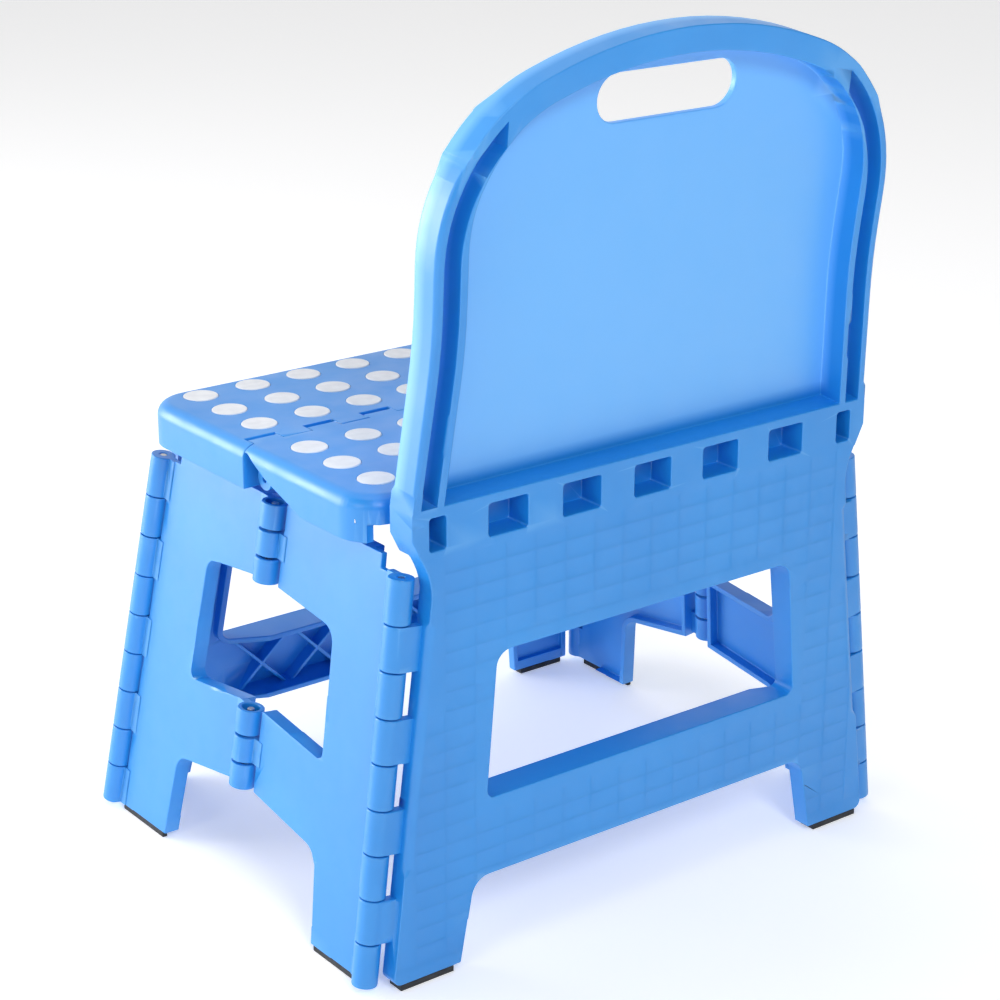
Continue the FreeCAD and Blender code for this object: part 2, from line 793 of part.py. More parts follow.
def make_front_legs():
    body = new_body("front_leg_panel")
    top = [
        (dim.neck_half, dim.neck_height, dim.neck_radius),
        (dim.neck_half - dim.front_top_inset, dim.front_top, dim.front_top_radius),
    ]
    base = (0, 0, dim.front_inset)
    legs = [leg_outline(top, as_size(0)), leg_opening()]
    pad(body, draw(body, "front_legs", "XZ_Plane", base, legs), dim.panel_depth, against_normal=True)
    inner = (dim.panel_depth - dim.front_inset).value
    shell(body, dim.plate, lambda face: abs(face.CenterOfMass.y - inner) < 1e-4)
    feet = []
    for side in (1, -1):
        inside = side * (dim.foot_inner + dim.merge)
        outside = side * (dim.foot_outer - dim.foot_radius)
        feet.append(box_outline(inside, outside, dim.merge, dim.foot_block))
    pad(body, draw(body, "front_feet", "XZ_Plane", base, feet), dim.panel_depth, against_normal=True)
    ribs_base = (0, 0, dim.front_inset - dim.plate / 2)
    for name, direction in (("ribs_one", 1), ("ribs_two", -1)):
        sketch = draw(body, name, "XZ_Plane", ribs_base, lattice(direction))
        pad(body, sketch, dim.panel_depth / 2, against_normal=True)
    fold_relief(body, as_size(0), -1, dim.front_top + CUT_ROOM)

    pivot_y, pivot_z = front_local(at.front_pivot_y, dim.front_pivot_height)
    lugs = []
    for x in between_lugs():
        half = dim.lug_width / 2
        lugs.append(box_outline(x - half, x + half, dim.front_top - dim.merge, pivot_z))
    sketch = draw(body, "front_lugs", "XZ_Plane", (0, 0, -(pivot_y - dim.lug_thickness / 2)), lugs)
    pad(body, sketch, dim.lug_thickness, against_normal=True)
    row_barrels(body, "front_lug_barrels", between_lugs(), dim.lug_width, pivot_y, pivot_z)
    row_bore(body, "front_lug_bore", dim.seat_half, pivot_y, pivot_z)
    for side in (1, -1):
        line = (as_size(0), -1, at.front_in_plane, at.front_stretch)
        corner_webs(body, f"front_{hand(side)}", side, *line)
    slope = tangent(dim.front_lean)
    level = dim.pad_height / cosine(dim.front_lean)
    sketch = draw(body, "front_floor", "YZ_Plane", (0, 0, 0), [below(level, slope)])
    pocket(body, sketch, FAR, both_ways=True)
    place(body, "Placement", (0, at.front_y, 0), (-1, 0, 0), dim.front_lean)
    return body


# Seat halves
def dot_sketch(body, name, first_row, direction, radius):
    sketch = new_sketch(body, name, "XY_Plane", (0, 0, dim.seat_top))
    for x, y in dot_places(first_row, direction):
        add_circle(sketch, x, y, radius)
    return sketch


def dot_places(first_row, direction):
    places = []
    for row in DOT_ROWS:
        for column in DOT_COLUMNS:
            places.append((dim.dot_pitch_x * column, first_row + direction * dim.dot_pitch_y * row))
    return places


def seat_shell(body, name, low_y, high_y, rounded_end):
    """A shallow tray, open below, with two round corners at one end."""
    half = dim.seat_half
    corners = [(-half, low_y), (half, low_y), (half, high_y), (-half, high_y)]
    round_pair = (0, 1) if rounded_end == "front" else (2, 3)
    radius = dim.seat_corner_radius
    outline = [(*c, radius) if n in round_pair else c for n, c in enumerate(corners)]
    floor = dim.seat_top - dim.skirt_depth
    pad(body, draw(body, name, "XY_Plane", (0, 0, floor), [outline]), dim.skirt_depth)
    shell(body, dim.seat_plate, lambda face: abs(face.CenterOfMass.z - floor.value) < 1e-4)


def finger_barrel():
    """The width of one barrel of the seat's middle hinge."""
    return dim.finger_pitch / 2 - dim.knuckle_gap


def post_barrel():
    """The width of one seat barrel between two lugs."""
    return dim.window_pitch - dim.lug_width - 2 * (dim.lug_clearance + dim.post_gap)


def seat_columns(body, name, places, width, y_low, y_high, pivot_z):
    """Blocks that carry the hinge barrels under the seat plate."""
    boxes = [box_outline(x - width / 2, x + width / 2, y_low, y_high) for x in places]
    sketch = draw(body, name, "XY_Plane", (0, 0, pivot_z), boxes)
    pad(body, sketch, dim.seat_top - dim.seat_plate / 2 - pivot_z)


def make_seat_rear():
    body = new_body("seat_rear_half")
    middle = at.middle_pivot_y
    seam = middle - dim.seam_overhang
    rear_edge = at.rear_pivot_y + dim.rear_overhang
    seat_shell(body, "rear_tray", seam, rear_edge, "rear")
    under = dim.seat_top - dim.seat_plate
    floor = dim.seat_top - dim.skirt_depth
    deep = floor - CUT_ROOM
    nose = [
        (seam - CUT_ROOM, deep),
        (middle + dim.nose_start, deep),
        (middle + dim.nose_start, floor),
        (middle + dim.nose_reach, dim.middle_pivot_height + dim.nose_rise, dim.nose_radius),
        (middle - dim.seat_edge_inset, under),
        (seam - CUT_ROOM, under),
    ]
    pocket(body, draw(body, "rear_nose", "YZ_Plane", (0, 0, 0), [nose]), FAR, both_ways=True)
    edge_half = dim.seat_half - dim.seat_edge_inset
    edge = box_outline(-edge_half, edge_half, deep, dim.rear_pivot_height - dim.lug_clearance)
    sketch = draw(body, "rear_edge", "XZ_Plane", (0, 0, dim.seat_edge_inset - rear_edge), [edge])
    pocket(body, sketch, CUT_ROOM)

    fingers = []
    for step in REAR_FINGERS:
        x = dim.finger_pitch * step
        half = dim.finger_width / 2 - dim.seam_gap / 2
        fingers.append(box_outline(x - half, x + half, seam - dim.finger_reach, seam + dim.merge))
    sketch = draw(body, "rear_fingers", "XY_Plane", (0, 0, under), fingers)
    pad(body, sketch, dim.seat_plate)

    places = [dim.finger_pitch * step for step in REAR_FINGERS]
    width = finger_barrel()
    pivot = (middle, dim.middle_pivot_height)
    column = (middle, middle + dim.seat_barrel_radius)
    seat_columns(body, "rear_columns", places, width, *column, dim.middle_pivot_height)
    row_barrels(body, "rear_middle_barrels", places, width, *pivot)
    row_bore(body, "rear_middle_bore", dim.seat_half - dim.seat_plate, *pivot)

    notches = []
    for x in lug_places():
        half = dim.lug_width / 2 + dim.lug_clearance
        low_y = at.rear_pivot_y - dim.lug_thickness / 2 - dim.lug_clearance
        notches.append(box_outline(x - half, x + half, low_y, rear_edge + CUT_ROOM))
    sketch = draw(body, "rear_notches", "XY_Plane", (0, 0, dim.seat_top + CUT_ROOM), notches)
    pocket(body, sketch, FAR)
    half = dim.seat_barrel_radius / 2
    width = post_barrel()
    pivot = (at.rear_pivot_y, dim.rear_pivot_height)
    column = (at.rear_pivot_y - half, at.rear_pivot_y + half)
    seat_columns(body, "rear_posts", between_lugs(), width, *column, dim.rear_pivot_height)
    row_barrels(body, "rear_edge_barrels", between_lugs(), width, *pivot)
    row_bore(body, "rear_edge_bore", dim.seat_half - dim.seat_plate, *pivot)
    first = middle + dim.rear_dot_gap
    sketch = dot_sketch(body, "rear_dots", first, 1, dim.dot_radius + dim.rod_clearance)
    pocket(body, sketch, dim.dot_recess)
    return body


def make_seat_front():
    body = new_body("seat_front_half")
    middle = at.middle_pivot_y
    seam = middle - dim.seam_overhang - dim.seam_gap
    front_edge = at.front_pivot_y - dim.front_overhang
    seat_shell(body, "front_tray", front_edge, seam, "front")
    deep = dim.seat_top - dim.skirt_depth - CUT_ROOM
    edge_low = dim.front_pivot_height - dim.front_edge_drop
    edge_half = dim.seat_half - dim.seat_edge_inset
    edge = box_outline(-edge_half, edge_half, deep, edge_low)
    sketch = draw(body, "front_edge", "XZ_Plane", (0, 0, -(front_edge + dim.seat_edge_inset)), [edge])
    pocket(body, sketch, CUT_ROOM, along_normal=True)

    slots = []
    for step in REAR_FINGERS:
        x = dim.finger_pitch * step
        half = dim.finger_width / 2 + dim.seam_gap / 2
        low_y = seam + dim.seam_gap - dim.finger_reach - dim.slot_width
        slots.append(box_outline(x - half, x + half, low_y, seam + CUT_ROOM))
    sketch = draw(body, "front_slots", "XY_Plane", (0, 0, dim.seat_top), slots)
    pocket(body, sketch, dim.seat_plate + dim.lug_clearance)

    places = [dim.finger_pitch * step for step in FRONT_FINGERS]
    width = finger_barrel()
    root = seam - dim.arm_root
    arms = [box_outline(x - width / 2, x + width / 2, root, middle) for x in places]
    arm_low = dim.middle_pivot_height - dim.seat_barrel_radius / 2
    sketch = draw(body, "front_arms", "XY_Plane", (0, 0, arm_low), arms)
    pad(body, sketch, dim.seat_barrel_radius)
    pivot = (middle, dim.middle_pivot_height)
    row_barrels(body, "front_middle_barrels", places, width, *pivot)
    row_bore(body, "front_middle_bore", dim.seat_half - dim.seat_plate, *pivot)

    half = dim.lug_width / 2 + dim.lug_clearance
    under = dim.seat_top - dim.seat_plate
    doors = [box_outline(x - half, x + half, deep, under) for x in between_lugs()]
    start = at.front_pivot_y + dim.seat_barrel_radius
    sketch = draw(body, "front_doors", "XZ_Plane", (0, 0, -start), doors)
    pocket(body, sketch, CUT_ROOM, along_normal=True)
    step_low = front_edge - CUT_ROOM
    step_high = front_edge + dim.step_depth
    steps = [box_outline(x - half, x + half, step_low, step_high) for x in between_lugs()]
    sketch = draw(body, "front_steps", "XY_Plane", (0, 0, dim.seat_top + CUT_ROOM), steps)
    pocket(body, sketch, FAR)
    width = post_barrel()
    half = dim.seat_barrel_radius / 2
    pivot = (at.front_pivot_y, dim.front_pivot_height)
    column = (at.front_pivot_y - half, at.front_pivot_y + half)
    seat_columns(body, "front_posts", lug_places(), width, *column, dim.front_pivot_height)
    row_barrels(body, "front_edge_barrels", lug_places(), width, *pivot)
    row_bore(body, "front_edge_bore", dim.seat_half - dim.seat_plate, *pivot)
    first = middle - dim.front_dot_gap
    sketch = dot_sketch(body, "front_dots", first, -1, dim.dot_radius + dim.rod_clearance)
    pocket(body, sketch, dim.dot_recess)
    return body


def make_dots(label, first_row, direction):
    """The grip dots of one seat half: separate discs that sit in the seat's shallow holes."""
    discs = []
    for number, (x, y) in enumerate(dot_places(first_row, direction)):
        disc = doc.addObject("Part::Cylinder", f"{label}_{number}")
        bind(disc, "Radius", dim.dot_radius)
        bind(disc, "Height", dim.dot_height)
        place(disc, "Placement", (x, y, dim.seat_top - dim.dot_recess))
        discs.append(disc)
    group = doc.addObject("Part::Compound", label)
    group.Label = label
    group.Links = discs
    finished.append(group)


# Side panels
def side_outline(rear):
    """One half of a side panel, in the panel's own plane: along the stool and up."""

    def hinge(height):
        if rear:
            return at.rear_y
        return at.front_y + height * at.front_slope

    def middle(height):
        line = at.middle_y + height * at.middle_slope
        return line + dim.middle_gap if rear else line - dim.middle_gap

    inward = -1 if rear else 1
    foot_width = dim.rear_foot_width if rear else dim.front_foot_width
    post = dim.rear_post if rear else dim.front_post

    def from_hinge(distance, height, *radius):
        height = as_size(height)
        return (hinge(height) + inward * distance, height, *radius)

    def at_middle(height):
        return (middle(height), height)

    corners = [
        at_middle(dim.side_top),
        at_middle(dim.side_opening_top_middle),
        from_hinge(post, dim.side_opening_top, dim.opening_high_radius),
        from_hinge(post, dim.side_bar_top, dim.opening_low_radius),
        at_middle(dim.side_bar_top_middle),
        at_middle(dim.side_bar_bottom_middle),
        from_hinge(post, dim.side_bar_bottom, dim.arch_radius),
        from_hinge(foot_width, dim.merge),
        from_hinge(dim.edge_gap, dim.merge),
        from_hinge(dim.edge_gap, dim.hinge_top),
        from_hinge(dim.side_notch, dim.hinge_top),
        from_hinge(dim.side_notch, dim.side_top),
    ]
    strip = [
        from_hinge(dim.flange_setback, -CUT_ROOM),
        from_hinge(-CUT_ROOM, -CUT_ROOM),
        from_hinge(-CUT_ROOM, dim.side_top + CUT_ROOM),
        from_hinge(dim.flange_setback, dim.side_top + CUT_ROOM),
    ]
    return corners, strip


def hinge_knuckles(body, name, side, line_y, lean, spans, toward, sizes):
    """Tabs, barrels and a bore on one hinge line of a side panel."""
    radius, bore, reach = sizes
    thick = dim.plate + dim.side_gap
    turned = ((0, 0, -1), lean)
    base = (line_y, 0, 0)
    tabs = [box_outline(toward * reach, 0, low, high) for low, high in spans]
    sketch = draw(body, name + "_tabs", "YZ_Plane", base, tabs, *turned)
    pad(body, sketch, thick, against_normal=side > 0)
    barrels = [box_outline(0, radius, low, high) for low, high in spans]
    sketch = draw(body, name + "_barrels", "YZ_Plane", base, barrels, *turned)
    turn_about(body, sketch, "V_Axis")
    holes = [box_outline(0, bore, low - dim.merge, high + dim.merge) for low, high in spans]
    sketch = draw(body, name + "_bore", "YZ_Plane", base, holes, *turned)
    turn_about(body, sketch, "V_Axis", cut=True)


def middle_zones():
    """The two stretches of a side panel's middle hinge: upper and lower."""
    return {
        "upper": (dim.side_opening_top_middle, dim.side_top),
        "lower": (dim.side_bar_bottom_middle, dim.side_bar_top_middle),
    }


def make_side(side, rear):
    name = f"side_{hand(side)}_{'rear' if rear else 'front'}_half"
    body = new_body(name)
    corners, strip = side_outline(rear)
    outer = -side * dim.side_gap
    sketch = draw(body, name + "_outline", "YZ_Plane", (0, 0, outer), [corners])
    pad(body, sketch, dim.side_depth, against_normal=side > 0)
    inner = (outer - side * dim.side_depth).value
    shell(body, dim.plate, lambda face: abs(face.CenterOfMass.x - inner) < 1e-4)
    sketch = draw(body, name + "_strip", "YZ_Plane", (0, 0, outer - side * dim.plate), [strip])
    pocket(body, sketch, 2 * dim.side_depth, along_normal=side < 0)

    middle_lean = angle_of(at.middle_slope)
    spans = knuckle_spans(dim.hinge_foot, dim.hinge_top, CORNER_KNUCKLES, 0, dim.knuckle_gap)
    stretch = at.rear_stretch if rear else at.front_stretch
    spans = [(low * stretch, high * stretch) for low, high in spans]
    tight = dim.rod_radius + dim.rod_clearance
    sizes = (dim.barrel_radius, tight, dim.edge_gap + dim.plate)
    if rear:
        line = (at.rear_y, as_size(0), spans, -1)
    else:
        line = (at.front_y, angle_of(at.front_slope), spans, 1)
    hinge_knuckles(body, name + "_corner", side, *line, sizes)
    middle_bore = tight if rear else dim.middle_bore
    sizes = (dim.middle_barrel_radius, middle_bore, dim.middle_gap + dim.plate)
    for zone, (low, high) in middle_zones().items():
        first = 1 if rear else 0
        spans = knuckle_spans(low, high, MIDDLE_KNUCKLES, first, dim.middle_knuckle_gap)
        spans = [(low / cosine(middle_lean), high / cosine(middle_lean)) for low, high in spans]
        toward = 1 if rear else -1
        hinge_knuckles(body, f"{name}_{zone}", side, at.middle_y, middle_lean, spans, toward, sizes)

    level = dim.pad_height / cosine(dim.side_lean)
    slope = -side * tangent(dim.side_lean)
    sketch = draw(body, name + "_floor", "XZ_Plane", (0, 0, 0), [below(level, slope)])
    pocket(body, sketch, 2 * FAR, both_ways=True)
    place(body, "Placement", (side * dim.hinge_half_width, 0, 0), (0, -side, 0), dim.side_lean)
    return body


# Rods and pads
def make_rods():
    span = dim.hinge_top - dim.hinge_foot - 2 * dim.knuckle_gap
    foot = dim.hinge_foot + dim.knuckle_gap
    for side in (1, -1):
        slope = -side * tangent(dim.side_lean)
        x = side * dim.hinge_half_width + foot * slope
        length = span / cosine(dim.side_lean)
        leaning = ((0, -side, 0), dim.side_lean)
        hinge_rod(f"rear_corner_rod_{hand(side)}", (x, at.rear_y, foot), length, *leaning)
        y = at.front_y + foot * tangent(dim.front_lean)
        leaning_rod(f"front_corner_rod_{hand(side)}", side, (x, y, foot), span, tangent(dim.front_lean))
        for zone, (low, high) in middle_zones().items():
            start = (low + dim.middle_knuckle_gap) * cosine(dim.side_lean)
            length = (high - low - 2 * dim.middle_knuckle_gap) * cosine(dim.side_lean)
            x_low = side * dim.hinge_half_width + start * slope
            y_low = at.middle_y + start * tangent(dim.front_lean / 2)
            base = (x_low, y_low, start)
            leaning_rod(f"side_{zone}_rod_{hand(side)}", side, base, length, tangent(dim.front_lean / 2))
    lugs_end = lug_places()[-1] + dim.lug_width / 2
    posts_end = lug_places()[-1] + post_barrel() / 2
    fingers_end = dim.finger_pitch * REAR_FINGERS[-1] + finger_barrel() / 2
    rows = {
        "seat_rear_rod": (at.rear_pivot_y, dim.rear_pivot_height, lugs_end),
        "seat_middle_rod": (at.middle_pivot_y, dim.middle_pivot_height, fingers_end),
        "seat_front_rod": (at.front_pivot_y, dim.front_pivot_height, posts_end),
    }
    for label, (y, z, end) in rows.items():
        half = end - dim.rod_setback
        hinge_rod(label, (-half, y, z), 2 * half, (0, 1, 0), as_size(90.0))


def leaning_rod(label, side, base, rise, slope):
    """A rod along a hinge line that leans both inwards and backwards."""
    inward = tangent(dim.side_lean)
    steep = Size(
        math.hypot(inward.value, slope.value),
        f"sqrt({inward.text} * {inward.text} + {slope.text} * {slope.text})",
    )
    lean = angle_of(steep)
    rod = hinge_rod(label, base, rise / cosine(lean), (0, 0, 1), as_size(0))
    axis = FreeCAD.Vector(-slope.value, -side * inward.value, 0)
    rod.Placement.Rotation = FreeCAD.Rotation(axis, lean.value)
    bind(rod, "Placement.Rotation.Axis.x", -slope / steep)
    bind(rod, "Placement.Rotation.Axis.y", -side * inward / steep)
    bind(rod, "Placement.Rotation.Axis.z", 0)
    bind(rod, "Placement.Rotation.Angle", lean)


def make_pads():
    margin = dim.pad_margin
    rear_width = dim.panel_inset - dim.web_gap - 2 * margin
    front_width = dim.front_inset - dim.web_gap - 2 * margin
    length = dim.foot_outer - dim.foot_inner - 2 * dim.foot_radius
    front_face = at.front_y - dim.front_inset / cosine(dim.front_lean)
    front_face = front_face + dim.pad_height * tangent(dim.front_lean)
    for side in (1, -1):
        near = dim.foot_inner + dim.foot_radius
        x = near if side > 0 else -(near + length)
        y = at.rear_face - rear_width - margin
        foot_pad(f"rear_foot_pad_{hand(side)}", (x, y, 0), length, rear_width)
        foot_pad(f"front_foot_pad_{hand(side)}", (x, front_face + 2 * margin, 0), length, front_width)
        thick = dim.plate - 2 * margin
        face = dim.hinge_half_width - dim.side_gap - dim.pad_height * tangent(dim.side_lean) - margin
        x = face - thick if side > 0 else -face
        rear_length = dim.rear_foot_width - dim.edge_gap - 2 * dim.pad_end
        start = at.rear_y - dim.rear_foot_width + dim.pad_end
        foot_pad(f"side_rear_foot_pad_{hand(side)}", (x, start, 0), thick, rear_length)
        front_length = dim.front_foot_width - dim.edge_gap - 2 * dim.pad_end
        start = at.front_y + dim.edge_gap + dim.pad_end
        foot_pad(f"side_front_foot_pad_{hand(side)}", (x, start, 0), thick, front_length)


# Build, check and write
def check_document():
    doc.recompute()
    for item in doc.Objects:
        if "Invalid" in item.State or "Error" in item.State:
            raise RuntimeError(f"{item.Label} failed: {item.State}")
    for item in finished:
        if item.Shape.isNull() or not item.Shape.isValid():
            raise RuntimeError(f"{item.Label} has no valid shape")


def main():
    make_backrest()
    make_front_legs()
    make_seat_rear()
    make_seat_front()
    make_dots("seat_rear_dots", at.middle_pivot_y + dim.rear_dot_gap, 1)
    make_dots("seat_front_dots", at.middle_pivot_y - dim.front_dot_gap, -1)
    for side in (1, -1):
        for rear in (True, False):
            make_side(side, rear)
    make_rods()
    make_pads()
    check_document()
    os.makedirs("parts", exist_ok=True)
    for item in finished:
        item.Shape.exportStep(os.path.join("parts", item.Label + ".step"))
        solids = len(item.Shape.Solids)
        print(f"{item.Label}: {solids} solid(s), {item.Shape.Volume / 1000:.2f} cm3")


main()
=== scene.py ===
# %% [markdown]
# A folding stool with a backrest, moulded in blue plastic
#
# The stool is a handful of thin plastic mouldings that hinge on each other: one piece is the backrest and
# the rear legs, two trays make the seat, one panel stands in front, and each side is two half panels.
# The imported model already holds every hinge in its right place. Here the mouldings get what a mould gives
# them: rounded edges, a pressed pattern on the rear legs, and a satin skin.

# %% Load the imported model
import json
import math

import bmesh
import bpy
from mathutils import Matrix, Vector, kdtree


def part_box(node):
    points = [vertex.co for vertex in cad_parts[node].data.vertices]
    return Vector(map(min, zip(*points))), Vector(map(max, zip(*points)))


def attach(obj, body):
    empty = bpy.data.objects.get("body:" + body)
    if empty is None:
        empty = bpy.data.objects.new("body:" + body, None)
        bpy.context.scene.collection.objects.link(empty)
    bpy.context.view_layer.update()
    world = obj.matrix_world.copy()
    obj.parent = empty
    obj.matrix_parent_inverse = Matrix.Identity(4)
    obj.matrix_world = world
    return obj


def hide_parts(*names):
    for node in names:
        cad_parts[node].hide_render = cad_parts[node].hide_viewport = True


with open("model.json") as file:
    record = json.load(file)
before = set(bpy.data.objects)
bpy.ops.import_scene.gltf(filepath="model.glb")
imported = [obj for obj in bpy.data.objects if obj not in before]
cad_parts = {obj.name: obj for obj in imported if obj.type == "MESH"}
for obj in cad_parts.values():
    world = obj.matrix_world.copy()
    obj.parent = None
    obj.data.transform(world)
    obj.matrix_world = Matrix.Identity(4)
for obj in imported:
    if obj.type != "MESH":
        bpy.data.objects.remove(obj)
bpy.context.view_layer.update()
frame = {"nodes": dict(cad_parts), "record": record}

# %% [markdown]
# The camera comes first, because every later choice is judged through it. The stool is seen from behind
# and from its left, from a little higher than its backrest. A long lens keeps the legs nearly parallel. The
# frame of the picture is cut off-centre, and the shift values move the frame without turning the camera.

# %% Camera
camera_data = bpy.data.cameras.new("camera")
camera_data.lens = 88.44
camera_data.sensor_width = 36.0
camera_data.shift_x = 0.01547
camera_data.shift_y = -0.06317
camera = bpy.data.objects.new("camera", camera_data)
camera.location = (0.69573, 0.90774, 0.58903)
camera_turn = math.radians(142.95)
camera_rise = math.radians(18.62)
looking = Vector((
    -math.sin(camera_turn) * math.cos(camera_rise),
    math.cos(camera_turn) * math.cos(camera_rise),
    -math.sin(camera_rise),
))
camera.rotation_euler = looking.to_track_quat("-Z", "Y").to_euler()
bpy.context.scene.collection.objects.link(camera)
bpy.context.scene.camera = camera
print("camera looks along", [round(value, 3) for value in looking])

# %% [markdown]
# A product picture is lit in a white tent. The tent is brightest in front of the stool, so the side panels
# and the rim, which mirror that side, get a white veil, while the rear face stays deep blue. A gradient on
# the world does this without any picture: it only reads how far a direction points forwards.

# %% White tent
scene = bpy.context.scene
scene.view_settings.view_transform = "Standard"
TENT_EVEN = 0.20
TENT_FRONT = 1.25
tent = bpy.data.worlds.new("white tent")
tent.use_nodes = True
tent_wall = tent.node_tree.nodes["Background"]
tent_wall.inputs["Color"].default_value = (1.0, 1.0, 1.0, 1.0)
direction = tent.node_tree.nodes.new("ShaderNodeTexCoord")
split = tent.node_tree.nodes.new("ShaderNodeSeparateXYZ")
glow = tent.node_tree.nodes.new("ShaderNodeMapRange")
glow.inputs["From Min"].default_value = -1.0
glow.inputs["From Max"].default_value = 0.0
glow.inputs["To Min"].default_value = TENT_FRONT
glow.inputs["To Max"].default_value = TENT_EVEN
tent.node_tree.links.new(direction.outputs["Generated"], split.inputs["Vector"])
tent.node_tree.links.new(split.outputs["Y"], glow.inputs["Value"])
tent.node_tree.links.new(glow.outputs["Result"], tent_wall.inputs["Strength"])
scene.world = tent
print("tent", TENT_EVEN, "to", TENT_FRONT)

# %% [markdown]
# Four soft lamps do the rest. A low softbox in front is what the side panels mirror, a small lamp behind
# lifts the rear face, a weak one at the side opens the shadows, and a large one above lights the seat and
# the floor. Each row of the table gives a lamp's place, what it aims at, its size and its power in watts.

# %% Soft lamps
LAMPS = {
    "front softbox": ((1.3, -1.5, 0.4), (0.1, 0.0, 0.2), 1.2, 33.0),
    "back lamp": ((0.5, 1.5, 1.3), (0.0, 0.12, 0.36), 0.5, 12.0),
    "side lamp": ((1.9, 0.5, 0.9), (0.0, 0.0, 0.2), 0.8, 6.0),
    "top lamp": ((0.0, 0.1, 2.2), (0.0, 0.0, 0.2), 1.5, 9.0),
}
for lamp_name, (place, aim, size, watts) in LAMPS.items():
    lamp = bpy.data.lights.new(lamp_name, "AREA")
    lamp.shape = "SQUARE"
    lamp.size = size
    lamp.energy = watts
    lamp_object = bpy.data.objects.new(lamp_name, lamp)
    lamp_object.location = place
    toward = Vector(aim) - Vector(place)
    lamp_object.rotation_euler = toward.to_track_quat("-Z", "Y").to_euler()
    scene.collection.objects.link(lamp_object)

# %% [markdown]
# The floor is a pale table. It glows a little, so only soft contact shadows are left under the feet.

# %% Pale floor
FLOOR_SIZE = 6.0
FLOOR_COLOUR = (0.93, 0.93, 0.94, 1.0)
FLOOR_GLOW = 0.35
floor_mesh = bmesh.new()
bmesh.ops.create_grid(floor_mesh, x_segments=1, y_segments=1, size=FLOOR_SIZE)
floor_data = bpy.data.meshes.new("floor")
floor_mesh.to_mesh(floor_data)
floor_mesh.free()
floor = bpy.data.objects.new("floor", floor_data)
scene.collection.objects.link(floor)
floor_paint = bpy.data.materials.new("pale floor")
floor_paint.use_nodes = True
floor_shader = floor_paint.node_tree.nodes["Principled BSDF"]
floor_shader.inputs["Base Color"].default_value = FLOOR_COLOUR
floor_shader.inputs["Roughness"].default_value = 0.8
floor_shader.inputs["Emission Color"].default_value = (1.0, 1.0, 1.0, 1.0)
floor_shader.inputs["Emission Strength"].default_value = FLOOR_GLOW
floor_data.materials.append(floor_paint)
print("floor glows", FLOOR_GLOW)

# %% [markdown]
# The finishes are made of nodes, so they have no resolution and need no pictures. Each one reads the
# Object coordinates of its piece, and those are metres in the stool's own frame: a noise scale of 1500
# gives a grain finer than a millimetre. Small differences in colour and roughness are what make a surface
# look moulded and not painted. A noise seldom leaves the middle of its range, so only that part is used.

# %% Helpers for the finishes
NOISE_LOW = 0.3
NOISE_HIGH = 0.7


def node_of(paint, kind, **inputs):
    """Add a node and set its named inputs."""
    node = paint.node_tree.nodes.new(kind)
    for name, value in inputs.items():
        node.inputs[name.replace("_", " ")].default_value = value
    return node


def new_paint(name):
    """A material with nodes, its shader, and the socket that gives a point's place."""
    paint = bpy.data.materials.new(name)
    paint.use_nodes = True
    shader = paint.node_tree.nodes["Principled BSDF"]
    place = paint.node_tree.nodes.new("ShaderNodeTexCoord").outputs["Object"]
    return paint, shader, place


def noise_from(paint, place, scale, detail=2.0):
    """A noise between 0 and 1."""
    noise = node_of(paint, "ShaderNodeTexNoise", Scale=scale, Detail=detail)
    paint.node_tree.links.new(place, noise.inputs["Vector"])
    return noise.outputs["Fac"]


def between(paint, factor, low, high):
    """A number that follows a noise between two values."""
    ranged = node_of(
        paint, "ShaderNodeMapRange", From_Min=NOISE_LOW, From_Max=NOISE_HIGH, To_Min=low, To_Max=high
    )
    paint.node_tree.links.new(factor, ranged.inputs["Value"])
    return ranged.outputs["Result"]


def two_tones(paint, factor, dark, light):
    """A colour that follows a noise between two tones."""
    ramp = paint.node_tree.nodes.new("ShaderNodeValToRGB")
    ramp.color_ramp.elements[0].position = NOISE_LOW
    ramp.color_ramp.elements[0].color = (*dark, 1.0)
    ramp.color_ramp.elements[1].position = NOISE_HIGH
    ramp.color_ramp.elements[1].color = (*light, 1.0)
    paint.node_tree.links.new(factor, ramp.inputs["Fac"])
    return ramp.outputs["Color"]


def grain(paint, shader, height, strength, distance):
    """Let a noise tilt the surface a little."""
    bump = node_of(paint, "ShaderNodeBump", Strength=strength, Distance=distance)
    paint.node_tree.links.new(height, bump.inputs["Height"])
    paint.node_tree.links.new(bump.outputs["Normal"], shader.inputs["Normal"])


print("a noise is read from", NOISE_LOW, "to", NOISE_HIGH)

# %% [markdown]
# Polypropylene takes colour through its whole thickness and has a waxy skin. Three things are layered:
# broad cloudy flow marks from the mould, a slightly paler line along the convex edges, and a very
# fine spark-eroded grain that only breaks up the highlights.

# %% Blue plastic
DEEP_BLUE = (0.006, 0.250, 0.720)
CLEAR_BLUE = (0.012, 0.295, 0.800)
PALER_EDGE_BLUE = (0.13, 0.45, 0.88)
FLOW_MARKS = 11.0
SKIN_PATCHES = 70.0
SPARK_GRAIN = 1500.0
FIRST_COLOUR = 6
SECOND_COLOUR = 7
MIXED_COLOUR = 2


def blend_colour(paint, factor, first, second):
    """A node socket that goes from the first colour to the second one."""
    mix = paint.node_tree.nodes.new("ShaderNodeMix")
    mix.data_type = "RGBA"
    paint.node_tree.links.new(factor, mix.inputs["Factor"])
    paint.node_tree.links.new(first, mix.inputs[FIRST_COLOUR])
    mix.inputs[SECOND_COLOUR].default_value = (*second, 1.0)
    return mix.outputs[MIXED_COLOUR]


